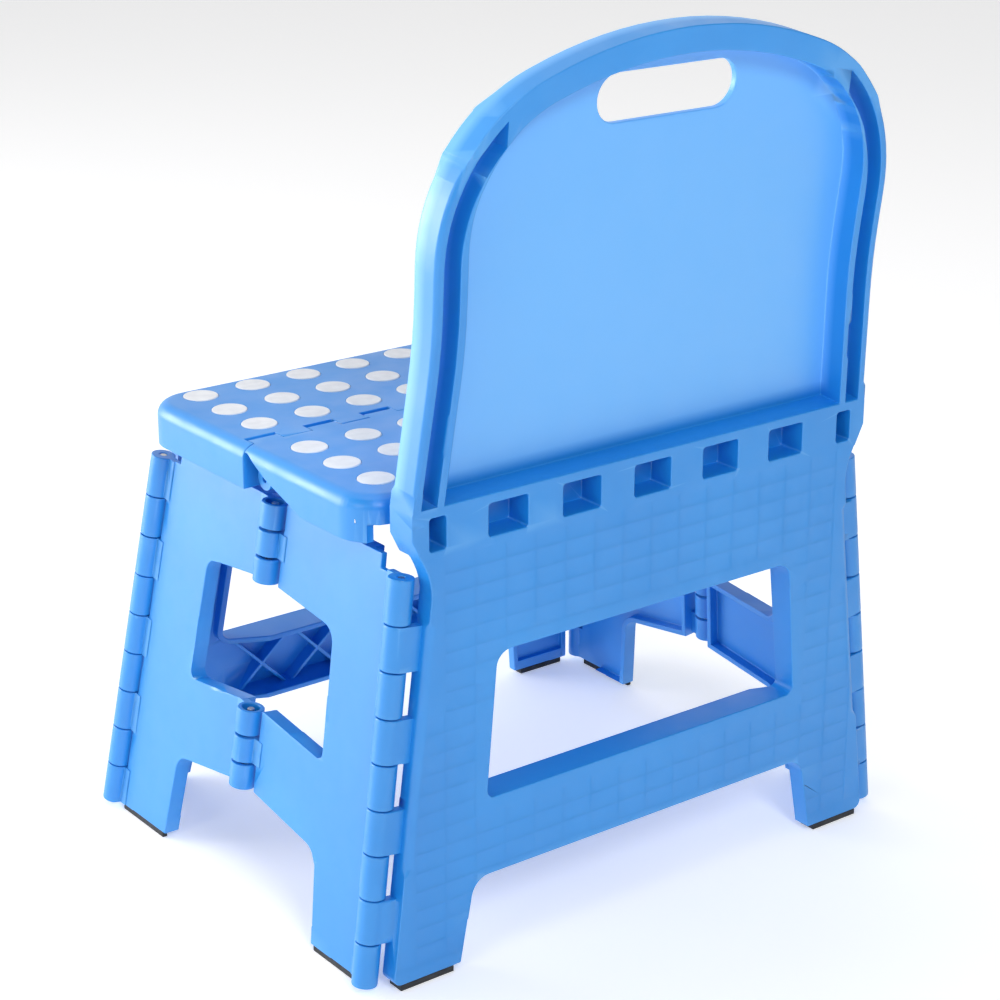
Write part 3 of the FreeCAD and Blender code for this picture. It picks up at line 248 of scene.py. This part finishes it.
def moulded_blue(name):
    """Blue polypropylene with flow marks, paler convex edges and a fine grain."""
    paint, shader, place = new_paint(name)
    links = paint.node_tree.links
    colour = two_tones(paint, noise_from(paint, place, FLOW_MARKS, 3.0), DEEP_BLUE, CLEAR_BLUE)
    # Convex edges, where the pointiness is high, are mixed towards a paler blue.
    edges = paint.node_tree.nodes.new("ShaderNodeNewGeometry").outputs["Pointiness"]
    paler_edge = node_of(paint, "ShaderNodeMapRange", From_Min=0.53, From_Max=0.62, To_Min=0.0, To_Max=0.35)
    links.new(edges, paler_edge.inputs["Value"])
    colour = blend_colour(paint, paler_edge.outputs["Result"], colour, PALER_EDGE_BLUE)
    links.new(colour, shader.inputs["Base Color"])
    gloss = between(paint, noise_from(paint, place, SKIN_PATCHES), 0.34, 0.46)
    links.new(gloss, shader.inputs["Roughness"])
    grain(paint, shader, noise_from(paint, place, SPARK_GRAIN, 3.0), 0.10, 0.0002)
    shader.inputs["Specular IOR Level"].default_value = 0.9
    return paint


blue_plastic = moulded_blue("blue plastic")
print("made", blue_plastic.name)

# %% [markdown]
# The plate of the backrest is only a few millimetres thick, so daylight from the other side would come
# through it. That light is painted: the plate gets a paler blue than the legs below it. The same paint gets
# a mask for that painted light: it is 1 where a point lies deep in the recess and above the seat, and 0 on
# the rim and the legs. Between them it fades over a few millimetres, which paints shade along the rim. The
# paint itself is made later, when the plate has been found on the moulding.

# %% Painted light on the thin plate
MILLI = 0.001
PAINTED_LIGHT_BLUE = (0.13, 0.47, 0.98)
PLATE_SKIN = 0.5 * MILLI
PAINTED_LIGHT_FADE = 6.0 * MILLI
UPWARDS = (0.0, 0.0, 1.0)


def mask_along(paint, place, way, start, end):
    """A mask that goes from 0 to 1 between two distances along a direction."""
    distance = paint.node_tree.nodes.new("ShaderNodeVectorMath")
    distance.operation = "DOT_PRODUCT"
    distance.inputs[1].default_value = way
    paint.node_tree.links.new(place, distance.inputs[0])
    ranged = node_of(paint, "ShaderNodeMapRange", From_Min=start, From_Max=end)
    paint.node_tree.links.new(distance.outputs["Value"], ranged.inputs["Value"])
    return ranged.outputs["Result"]


def blue_with_painted_plate_light(way, depth, bottom):
    """The blue plastic with painted light: paler on a plate that lies at a depth along a direction."""
    paint = moulded_blue("blue plastic with a thin plate")
    links = paint.node_tree.links
    shader = paint.node_tree.nodes["Principled BSDF"]
    base = shader.inputs["Base Color"].links[0].from_socket
    place = paint.node_tree.nodes["Texture Coordinate"].outputs["Object"]
    painted_light_mask = paint.node_tree.nodes.new("ShaderNodeMath")
    painted_light_mask.operation = "MULTIPLY"
    deep = mask_along(paint, place, way, depth + PAINTED_LIGHT_FADE, depth + PLATE_SKIN)
    links.new(deep, painted_light_mask.inputs[0])
    high = mask_along(paint, place, UPWARDS, bottom, bottom + PAINTED_LIGHT_FADE)
    links.new(high, painted_light_mask.inputs[1])
    # Where the mask is 1 the blue is mixed towards a paler one: painted light for daylight through the
    # plate.
    painted_light = blend_colour(paint, painted_light_mask.outputs["Value"], base, PAINTED_LIGHT_BLUE)
    links.new(painted_light, shader.inputs["Base Color"])
    return paint


print("the plate's paint fades over", PAINTED_LIGHT_FADE / MILLI, "mm")

# %% [markdown]
# The grip dots are soft white discs pressed into the seat. Their skin is matte and a little dusty, so the
# roughness is high and a fine noise dirties the white. The pads under the feet are black rubber. The hinge
# pins are drawn steel, with fine lines that run upright, the way most of the pins stand.

# %% White grip, black rubber and drawn steel
DUSTY_WHITE = (0.80, 0.80, 0.82)
CLEAN_WHITE = (0.90, 0.90, 0.91)
DEEP_BLACK = (0.016, 0.017, 0.020)
WORN_BLACK = (0.035, 0.037, 0.042)
DULL_STEEL = (0.46, 0.47, 0.49)
BRIGHT_STEEL = (0.66, 0.67, 0.69)
DRAWN_LINES = (2500.0, 2500.0, 60.0)


def soft_white():
    paint, shader, place = new_paint("white grip")
    tone = two_tones(paint, noise_from(paint, place, 160.0, 4.0), DUSTY_WHITE, CLEAN_WHITE)
    paint.node_tree.links.new(tone, shader.inputs["Base Color"])
    gloss = between(paint, noise_from(paint, place, 300.0), 0.5, 0.68)
    paint.node_tree.links.new(gloss, shader.inputs["Roughness"])
    grain(paint, shader, noise_from(paint, place, 1800.0, 2.0), 0.2, 0.0002)
    return paint


def black_rubber():
    paint, shader, place = new_paint("black rubber")
    tone = two_tones(paint, noise_from(paint, place, 220.0, 4.0), DEEP_BLACK, WORN_BLACK)
    paint.node_tree.links.new(tone, shader.inputs["Base Color"])
    gloss = between(paint, noise_from(paint, place, 400.0), 0.6, 0.8)
    paint.node_tree.links.new(gloss, shader.inputs["Roughness"])
    grain(paint, shader, noise_from(paint, place, 1200.0, 3.0), 0.35, 0.0003)
    return paint


def drawn_steel():
    paint, shader, place = new_paint("drawn steel")
    stretch = node_of(paint, "ShaderNodeMapping", Scale=DRAWN_LINES)
    paint.node_tree.links.new(place, stretch.inputs["Vector"])
    lines = noise_from(paint, stretch.outputs["Vector"], 1.0, 2.0)
    tone = two_tones(paint, lines, DULL_STEEL, BRIGHT_STEEL)
    paint.node_tree.links.new(tone, shader.inputs["Base Color"])
    paint.node_tree.links.new(between(paint, lines, 0.25, 0.42), shader.inputs["Roughness"])
    shader.inputs["Metallic"].default_value = 1.0
    return paint


white_grip = soft_white()
rubber = black_rubber()
steel = drawn_steel()
print("finishes", [item.name for item in (blue_plastic, white_grip, rubber, steel)])

# %% [markdown]
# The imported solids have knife-sharp edges, and nothing moulded has. A copy of each solid is merged, so
# that its loose triangles share their corners, and its flat areas are dissolved into single faces. One
# huge face with holes is hard to bevel, because any small crossing of its outline tears the whole face.
# So the flats are cut into cells again, by planes, before any edge is touched.

# %% Clean copies of the solids
WELD = 0.002 * MILLI
FLAT = math.radians(0.4)
CELL = 16.0 * MILLI
CELL_START = 0.53
CELL_SNAP = 0.02 * MILLI


def merged_copy(node):
    """A copy of a solid whose triangles share corners and whose flats are single faces."""
    piece = bmesh.new()
    piece.from_mesh(frame["nodes"][node].data)
    bmesh.ops.remove_doubles(piece, verts=piece.verts, dist=WELD)
    bmesh.ops.dissolve_limit(
        piece, angle_limit=FLAT, use_dissolve_boundaries=False, verts=piece.verts, edges=piece.edges
    )
    piece.normal_update()
    return piece


def axis_way(axis):
    """The direction of an axis: 0 is X, 1 is Y and 2 is Z."""
    way = Vector((0.0, 0.0, 0.0))
    way[axis] = 1.0
    return way


def cut_into_cells(piece, axes):
    """Slice the piece by evenly spaced planes along the given axes."""
    for axis in axes:
        places = [corner.co[axis] for corner in piece.verts]
        way = axis_way(axis)
        for number in range(int((max(places) - min(places)) / CELL)):
            spot = way * (min(places) + (number + CELL_START) * CELL)
            whole = piece.verts[:] + piece.edges[:] + piece.faces[:]
            bmesh.ops.bisect_plane(piece, geom=whole, dist=CELL_SNAP, plane_co=spot, plane_no=way)
    piece.normal_update()
    return piece


back = merged_copy("backrest_panel")
print("backrest", len(back.faces), "faces after merging")
cut_into_cells(back, (2,))
print("backrest", len(back.faces), "faces after slicing")

# %% [markdown]
# A bevel needs room. Where an edge ends in something smaller than the bevel, the new faces would fold
# over themselves, so such edges stay sharp. The choice is made again until no edge drops out, because an
# edge that stays sharp takes room away from its neighbours.

# %% Edges with room
EDGE_ANGLE = 35.0
ROOM = 1.2
STRAIGHT_ON = -0.85


def is_sharp(edge, least=EDGE_ANGLE):
    return edge.is_manifold and edge.calc_face_angle(0.0) > math.radians(least)


def sharp_edges(piece):
    return [edge for edge in piece.edges if is_sharp(edge)]


def middle_of(edge):
    return (edge.verts[0].co + edge.verts[1].co) / 2


def has_room(corner, chosen, radius):
    """True where a bevel of this radius fits round a corner."""
    bevelled = [edge for edge in corner.link_edges if edge in chosen]
    others = [edge for edge in corner.link_edges if edge not in chosen]
    if any(edge.calc_length() < ROOM * radius for edge in others):
        return False
    if len(bevelled) == 1:
        return bevelled[0].calc_length() > ROOM * radius
    if len(bevelled) == 2:
        first = (bevelled[0].other_vert(corner).co - corner.co).normalized()
        second = (bevelled[1].other_vert(corner).co - corner.co).normalized()
        if first.dot(second) < STRAIGHT_ON:
            return True
    return all(edge.calc_length() > 2 * ROOM * radius for edge in bevelled)


def roomy_edges(edges, radius):
    """Those edges that have room at both ends."""
    chosen = set(edges)
    while True:
        corners = {corner for edge in chosen for corner in edge.verts}
        good = {corner for corner in corners if has_room(corner, chosen, radius)}
        kept = {edge for edge in chosen if all(corner in good for corner in edge.verts)}
        if len(kept) == len(chosen):
            return list(kept)
        chosen = kept


sharp = sharp_edges(back)
print("backrest", len(sharp), "sharp edges,", len(roomy_edges(sharp, MILLI)), "with room for a millimetre")

# %% [markdown]
# The edges with room are tried on a copy first. Where a face comes out folded, its triangles cover more
# than the face does. The edges near its corners are then dropped and a new copy is tried, up to eight times,
# before the piece itself is bevelled.

# %% Bevels that fit
FOLD_SLACK = 0.3 * MILLI**2
TRIES = 8


def folded_faces(piece):
    """The faces whose triangles cover more than the face does."""
    covered = {}
    for loops in piece.calc_loop_triangles():
        first, second, third = (loop.vert.co for loop in loops)
        area = (second - first).cross(third - first).length / 2
        covered[loops[0].face] = covered.get(loops[0].face, 0.0) + area
    return [face for face, area in covered.items() if area > face.calc_area() + FOLD_SLACK]


def bevel(piece, edges, radius, steps):
    bmesh.ops.bevel(
        piece, geom=edges, offset=radius, offset_type="OFFSET", affect="EDGES", segments=steps,
        profile=0.5, clamp_overlap=False, material=-1, loop_slide=False,
    )
    piece.normal_update()


def clear_of(edges, spots, near):
    """Those edges whose ends are both further than a distance from every spot."""
    tree = kdtree.KDTree(len(spots))
    for number, spot in enumerate(spots):
        tree.insert(spot, number)
    tree.balance()
    return [edge for edge in edges if all(tree.find(corner.co)[2] > near for corner in edge.verts)]


def round_over(piece, title, edges, radius, steps):
    """Bevel the edges that have room, and print their length in millimetres."""
    chosen = roomy_edges(edges, radius)
    piece.edges.index_update()
    before = len(folded_faces(piece))
    for _ in range(TRIES):
        trial = piece.copy()
        trial.edges.ensure_lookup_table()
        bevel(trial, [trial.edges[edge.index] for edge in chosen], radius, steps)
        folded = folded_faces(trial)
        spots = [corner.co.copy() for face in folded for corner in face.verts]
        trial.free()
        if len(folded) <= before or not chosen:
            break
        near = 1.5 * radius + 0.5 * MILLI
        chosen = roomy_edges(clear_of(chosen, spots, near), radius)
    length = sum(edge.calc_length() for edge in chosen)
    bevel(piece, chosen, radius, steps)
    print(title, round(length / MILLI), "mm rounded, folded", len(folded_faces(piece)))


print("backrest", len(folded_faces(back)), "folded faces before any bevel")

# %% [markdown]
# The backrest and the rear legs are one moulding. Its outer edges are the roundest of the whole stool, so
# they are bevelled first and widest. Which edges those are is read from the mesh itself: an edge belongs
# to the outline when one of its faces looks backwards or forwards and the other looks out to the side.

# %% Outline of the backrest and rear legs
SEAT_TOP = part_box("seat_rear_half")[1][2]
BACK_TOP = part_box("backrest_panel")[1][2]
LEG_EDGE = 4.0 * MILLI
RIM_EDGE = 2.0 * MILLI
FRONT_EDGE = 3.0 * MILLI
FINE_EDGE = 0.6 * MILLI
FOOT = 4.0 * MILLI
LEG_TOP = 0.90 * SEAT_TOP
CROWN = 0.93 * BACK_TOP
ABOVE_ALL = 1.0
OUTSIDE = 0.118
OUTLINE_ANGLE = 60.0
SQUARE_ON = 0.985
OUTWARDS = 0.3
BEHIND = 1
AHEAD = -1


def outline_edges(piece, facing, low, high):
    """Edges between a face that looks along Y and a wall that looks out to the side or up."""
    found = []
    for edge in piece.edges:
        spot = middle_of(edge)
        if not is_sharp(edge, OUTLINE_ANGLE) or not low < spot.z < high:
            continue
        ahead = [face.normal.y * facing > SQUARE_ON for face in edge.link_faces]
        if sum(ahead) != 1:
            continue
        side_wall = edge.link_faces[ahead.index(False)]
        from_middle = Vector((spot.x, 0.0, max(0.0, spot.z - SEAT_TOP)))
        if side_wall.normal.dot(from_middle.normalized()) > OUTWARDS:
            found.append(edge)
    return found


def outermost(edges):
    """Those edges that lie on the outside of a leg or of the backrest."""
    return [edge for edge in edges if abs(middle_of(edge).x) > OUTSIDE or middle_of(edge).z > CROWN]


legs = outermost(outline_edges(back, BEHIND, FOOT, LEG_TOP))
round_over(back, "leg edges", legs, LEG_EDGE, 4)
rim = outermost(outline_edges(back, BEHIND, SEAT_TOP, ABOVE_ALL))
round_over(back, "rim edges", rim, RIM_EDGE, 3)
front = outermost(outline_edges(back, AHEAD, SEAT_TOP, ABOVE_ALL))
round_over(back, "front edges", front, FRONT_EDGE, 4)
cut_into_cells(back, (0,))
round_over(back, "small edges", sharp_edges(back), FINE_EDGE, 2)

# %% [markdown]
# Two flats of this moulding matter now: the rear of the legs, which gets a pattern, and the plate of the
# backrest, which leans a little and gets the painted light. Both are found by adding up the areas of the
# faces that look backwards and lie at the same depth.

# %% Flats of the legs and the plate
BACKWARDS = 0.95
PLATE_LOW = 1.1 * SEAT_TOP


def broadest_face(piece, low, high):
    """The direction and the depth of the largest flat that looks backwards between two heights."""
    areas = {}
    for face in piece.faces:
        spot = face.calc_center_median()
        if face.normal.y > BACKWARDS and low < spot.z < high:
            depth = round(face.normal.dot(spot), 5)
            area, way = areas.get(depth, (0.0, face.normal.copy()))
            areas[depth] = (area + face.calc_area(), way)
    depth = max(areas, key=lambda level: areas[level][0])
    return areas[depth][1], depth


_, leg_level = broadest_face(back, 0.0, LEG_TOP)
plate_way, plate_depth = broadest_face(back, PLATE_LOW, BACK_TOP)
print("legs at", leg_level)
print("plate looks along", [round(value, 4) for value in plate_way], "at", plate_depth)

# %% [markdown]
# The rear legs carry a pressed pattern of shallow oblongs, which keeps a large flat from looking wavy. The
# flat is cut along a grid, the other cuts in it are dissolved, and each whole cell is inset and sunk by a
# fraction of a millimetre. Cells that the outline trims too much are left plain. First come the helpers
# that find the flat, its grid lines and its cells.

# %% Grid of the oblongs
OBLONG = Vector((16.8 * MILLI, 9.3 * MILLI))
OBLONG_TOP = 0.905 * SEAT_TOP
DEAD_LEVEL = 0.9995
LEVEL_SLACK = 0.02 * MILLI
LINE_SLACK = 0.05 * MILLI
LEAST_AREA = 0.55
LEAST_WIDE = 0.6
LEAST_TALL = 0.75
LEAST_FILL = 0.9
MOST = 1.05


def faces_on(piece, level):
    """Faces of one level that look backwards, below the top of the pattern."""
    found = []
    for face in piece.faces:
        spot = face.calc_center_median()
        if face.normal.y > DEAD_LEVEL and abs(spot.y - level) < LEVEL_SLACK and spot.z < OBLONG_TOP:
            found.append(face)
    return found


def off_grid(value, pitch):
    return abs(value / pitch - round(value / pitch)) * pitch > LINE_SLACK


def between_cells(edge):
    """True for an edge that lies on a line of the grid."""
    first, second = edge.verts
    on_column = not (off_grid(first.co.x, OBLONG.x) or off_grid(second.co.x, OBLONG.x))
    on_row = not (off_grid(first.co.z, OBLONG.y) or off_grid(second.co.z, OBLONG.y))
    upright = abs(first.co.x - second.co.x) < LINE_SLACK
    level = abs(first.co.z - second.co.z) < LINE_SLACK
    return (on_column and upright) or (on_row and level)


def is_cell(face):
    """True for a face that fills all or most of one cell of the grid."""
    wide = max(corner.co.x for corner in face.verts) - min(corner.co.x for corner in face.verts)
    tall = max(corner.co.z for corner in face.verts) - min(corner.co.z for corner in face.verts)
    area = face.calc_area()
    whole = OBLONG.x * OBLONG.y
    large = area > LEAST_AREA * whole and wide > LEAST_WIDE * OBLONG.x and tall > LEAST_TALL * OBLONG.y
    single = wide < MOST * OBLONG.x and tall < MOST * OBLONG.y
    return large and single and area > LEAST_FILL * wide * tall


print("the legs' flat has", len(faces_on(back, leg_level)), "faces")

# %% [markdown]
# Now the flat is cut and pressed. The rim of each oblong is a narrow slope, because a press tool has no
# upright walls: the part has to come out of it.

# %% Pressed oblongs on the rear legs
OBLONG_EDGE = 0.7 * MILLI
OBLONG_DEPTH = 0.45 * MILLI
COLUMNS = range(-12, 13)
ROWS = range(1, 30)
FINE_SNAP = 0.01 * MILLI


def cut_faces(piece, faces, way, distance):
    """Cut faces by a plane that stands at a distance along a direction."""
    edges = list({edge for face in faces for edge in face.edges})
    corners = list({corner for face in faces for corner in face.verts})
    bmesh.ops.bisect_plane(
        piece, geom=corners + edges + faces, dist=FINE_SNAP, plane_co=way * distance, plane_no=way
    )


def press_oblongs(piece, level):
    """Cut a flat along the grid and sink its cells."""
    lines = [(axis_way(0), number * OBLONG.x) for number in COLUMNS]
    lines += [(axis_way(2), number * OBLONG.y) for number in ROWS]
    for way, distance in lines:
        cut_faces(piece, faces_on(piece, level), way, distance)
    flats = set(faces_on(piece, level))
    inner = [edge for edge in piece.edges if edge.is_manifold and flats.issuperset(edge.link_faces)]
    inner = [edge for edge in inner if not between_cells(edge)]
    bmesh.ops.dissolve_edges(piece, edges=inner, use_verts=True, use_face_split=False)
    cells = [face for face in faces_on(piece, level) if is_cell(face)]
    bmesh.ops.inset_individual(
        piece, faces=cells, thickness=OBLONG_EDGE, depth=-OBLONG_DEPTH, use_even_offset=True
    )
    piece.normal_update()
    print("pressed", len(cells), "oblongs, folded", len(folded_faces(piece)))


press_oblongs(back, leg_level)

# %% [markdown]
# When a shape is done it becomes an object. Smooth shading with weighted normals keeps the flats flat and
# lets only the bevels look round, as on a real moulding. The backrest is the first piece to be finished,
# and it gets the paint with painted light on its plate.

# %% From shape to object
SMOOTH_ANGLE = math.radians(40.0)
PLATE_START = SEAT_TOP + 4.0 * MILLI


def finish_piece(piece, name, body, node, paint):
    """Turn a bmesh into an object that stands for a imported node."""
    data = bpy.data.meshes.new(name)
    for face in piece.faces:
        face.smooth = True
    piece.to_mesh(data)
    piece.free()
    data.set_sharp_from_angle(angle=SMOOTH_ANGLE)
    data.materials.append(paint)
    made = bpy.data.objects.new(name, data)
    scene.collection.objects.link(made)
    even = made.modifiers.new("even normals", "WEIGHTED_NORMAL")
    even.keep_sharp = True
    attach(made, body)
    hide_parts(node)
    print(name, len(data.polygons), "faces")


# The backrest's paint carries painted light on the plate, paler than the legs.
backrest_blue_with_painted_light = blue_with_painted_plate_light(plate_way, plate_depth, PLATE_START)
finish_piece(back, "backrest", "rear_panel", "backrest_panel", backrest_blue_with_painted_light)

# %% [markdown]
# The seat is two shallow trays, and their outer edge is a round nose all the way along. A bevel as wide as
# that doesn't fit between the notches, so the nose is shaped by hand: planes cut the last few millimetres
# into strips, and every corner outside a quarter circle is pulled in onto it. Seen from above, the seat is
# a rectangle with round corners, and the first helper measures how far a point lies inside it.

# %% Outline of the seat
SEAT_CORNER = 20.0 * MILLI
SEAT_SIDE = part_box("seat_rear_half")[1][0]
SEAT_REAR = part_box("seat_rear_half")[1][1]
SEAT_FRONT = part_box("seat_front_half")[0][1]


def to_outline(spot):
    """How far a point lies inside the seat's outline, and the way inwards."""
    middle = Vector((0.0, (SEAT_REAR + SEAT_FRONT) / 2))
    half = Vector((SEAT_SIDE, (SEAT_REAR - SEAT_FRONT) / 2))
    from_middle = Vector((spot.x, spot.y)) - middle
    side = Vector((math.copysign(1.0, from_middle.x), math.copysign(1.0, from_middle.y)))
    over = Vector((abs(from_middle.x) - half.x + SEAT_CORNER, abs(from_middle.y) - half.y + SEAT_CORNER))
    if over.x > 0.0 and over.y > 0.0:
        inwards = -Vector((over.x * side.x, over.y * side.y)).normalized()
        return SEAT_CORNER - over.length, inwards
    if over.x > over.y:
        return SEAT_CORNER - over.x, Vector((-side.x, 0.0))
    return SEAT_CORNER - over.y, Vector((0.0, -side.y))


print("seat is", round(2 * SEAT_SIDE / MILLI, 1), "by", round((SEAT_REAR - SEAT_FRONT) / MILLI, 1), "mm")

# %% [markdown]
# Seen from the centre of the quarter circle, the strips span nearly equal angles, so the nose comes out
# evenly round. In the four corners the top is cut into a fine grid as well, because there the nose runs
# round a bend.

# %% Round nose of the seat
NOSE = 6.5 * MILLI
NOSE_ANGLES = (0.0, 11.0, 22.0, 33.0)
NOSE_CUTS = [NOSE * (1.0 - math.tan(math.radians(angle))) for angle in NOSE_ANGLES]
CORNER_STEPS = 14
LOOKING_UP = 0.999
TOP_SLACK = 0.05 * MILLI


def corner_tops(piece):
    """Faces of the seat's top that lie in its four round corners."""
    found = []
    for face in piece.faces:
        spot = face.calc_center_median()
        from_end = min(SEAT_REAR - spot.y, spot.y - SEAT_FRONT)
        if face.normal.z > LOOKING_UP and spot.z > SEAT_TOP - TOP_SLACK:
            if abs(spot.x) > SEAT_SIDE - SEAT_CORNER and from_end < SEAT_CORNER:
                found.append(face)
    return found


def cut_all(piece, axis, spots, chosen=None):
    """Cut by planes at given places on one axis, through all faces or the chosen ones."""
    for spot in spots:
        faces = chosen(piece) if chosen else piece.faces[:]
        cut_faces(piece, faces, axis_way(axis), spot)


def cut_strips(piece, cuts, chosen=None):
    """Cut at given distances inside both sides and both ends of the seat."""
    cut_all(piece, 0, [sign * (SEAT_SIDE - cut) for cut in cuts for sign in (-1, 1)], chosen)
    cut_all(piece, 1, [SEAT_REAR - cut for cut in cuts] + [SEAT_FRONT + cut for cut in cuts], chosen)


def round_nose(piece):
    """Cut strips along the seat's edge and pull their corners onto a quarter circle."""
    cut_all(piece, 2, [SEAT_TOP - cut for cut in NOSE_CUTS])
    cut_strips(piece, NOSE_CUTS + [SEAT_CORNER])
    fine = [SEAT_CORNER * number / CORNER_STEPS for number in range(1, CORNER_STEPS)]
    cut_strips(piece, fine, corner_tops)
    moved = 0
    for corner in piece.verts:
        depth = SEAT_TOP - corner.co.z
        inside, inwards = to_outline(corner.co)
        if depth >= NOSE or inside >= NOSE:
            continue
        reach = Vector((NOSE - inside, NOSE - depth))
        if reach.length > NOSE:
            pulled = reach * (NOSE / reach.length)
            step = inwards * (reach.x - pulled.x)
            corner.co += Vector((step.x, step.y, pulled.y - reach.y))
            moved += 1
    piece.normal_update()
    print("round nose,", moved, "corners moved")


print("nose cuts at", [round(cut / MILLI, 2) for cut in NOSE_CUTS], "mm")

# %% [markdown]
# The other mouldings are all made the same way: a clean copy, cut into cells, with a small radius on every
# edge that has room for it. Only the seat halves get their round nose before that. Each row of the table
# gives the body that a moulding rides on and the axes along which it is cut.

# %% Seat, side panels and front panel
SMALL_EDGE = 0.5 * MILLI
MOULDINGS = {
    "front_leg_panel": ("front_panel", (0, 2)),
    "seat_rear_half": ("seat_rear", (0, 1)),
    "seat_front_half": ("seat_front", (0, 1)),
    "side_left_rear_half": ("side_left_rear", (1, 2)),
    "side_left_front_half": ("side_left_front", (1, 2)),
    "side_right_rear_half": ("side_right_rear", (1, 2)),
    "side_right_front_half": ("side_right_front", (1, 2)),
}
for node, (body, axes) in MOULDINGS.items():
    piece = merged_copy(node)
    if node.startswith("seat"):
        round_nose(piece)
    cut_into_cells(piece, axes)
    round_over(piece, node, sharp_edges(piece), SMALL_EDGE, 2)
    name = node.replace("_half", "").replace("_panel", "") + "_moulding"
    finish_piece(piece, name, body, node, blue_plastic)

# %% [markdown]
# The small pieces are turned or punched parts. The grip dots get a soft shoulder, because a punched disc
# of rubber never has a sharp rim, and the pads and the pins get a fine chamfer. Each row of the table gives
# the radius, the number of steps in it, a material slot that is not used, and the finish.

# %% Grip dots, hinge pins and foot pads
SHOULDER = 0.6 * MILLI
CHAMFER = 0.3 * MILLI
SMALL_PIECES = {
    "dots": (SHOULDER, 3, "grip_dot", white_grip),
    "_rod": (CHAMFER, 1, "hinge_rod", steel),
    "foot_pad": (CHAMFER, 2, "foot_pad", rubber),
}
body_of = {}
for body, nodes in frame["record"]["behaviour"]["bodies"].items():
    for node in nodes:
        body_of[node] = body
for node in sorted(frame["nodes"]):
    for kind, (radius, steps, slot, paint) in SMALL_PIECES.items():
        if kind in node:
            piece = merged_copy(node)
            bevel(piece, sharp_edges(piece), radius, steps)
            finish_piece(piece, f"{node}_finished", body_of[node], node, paint)
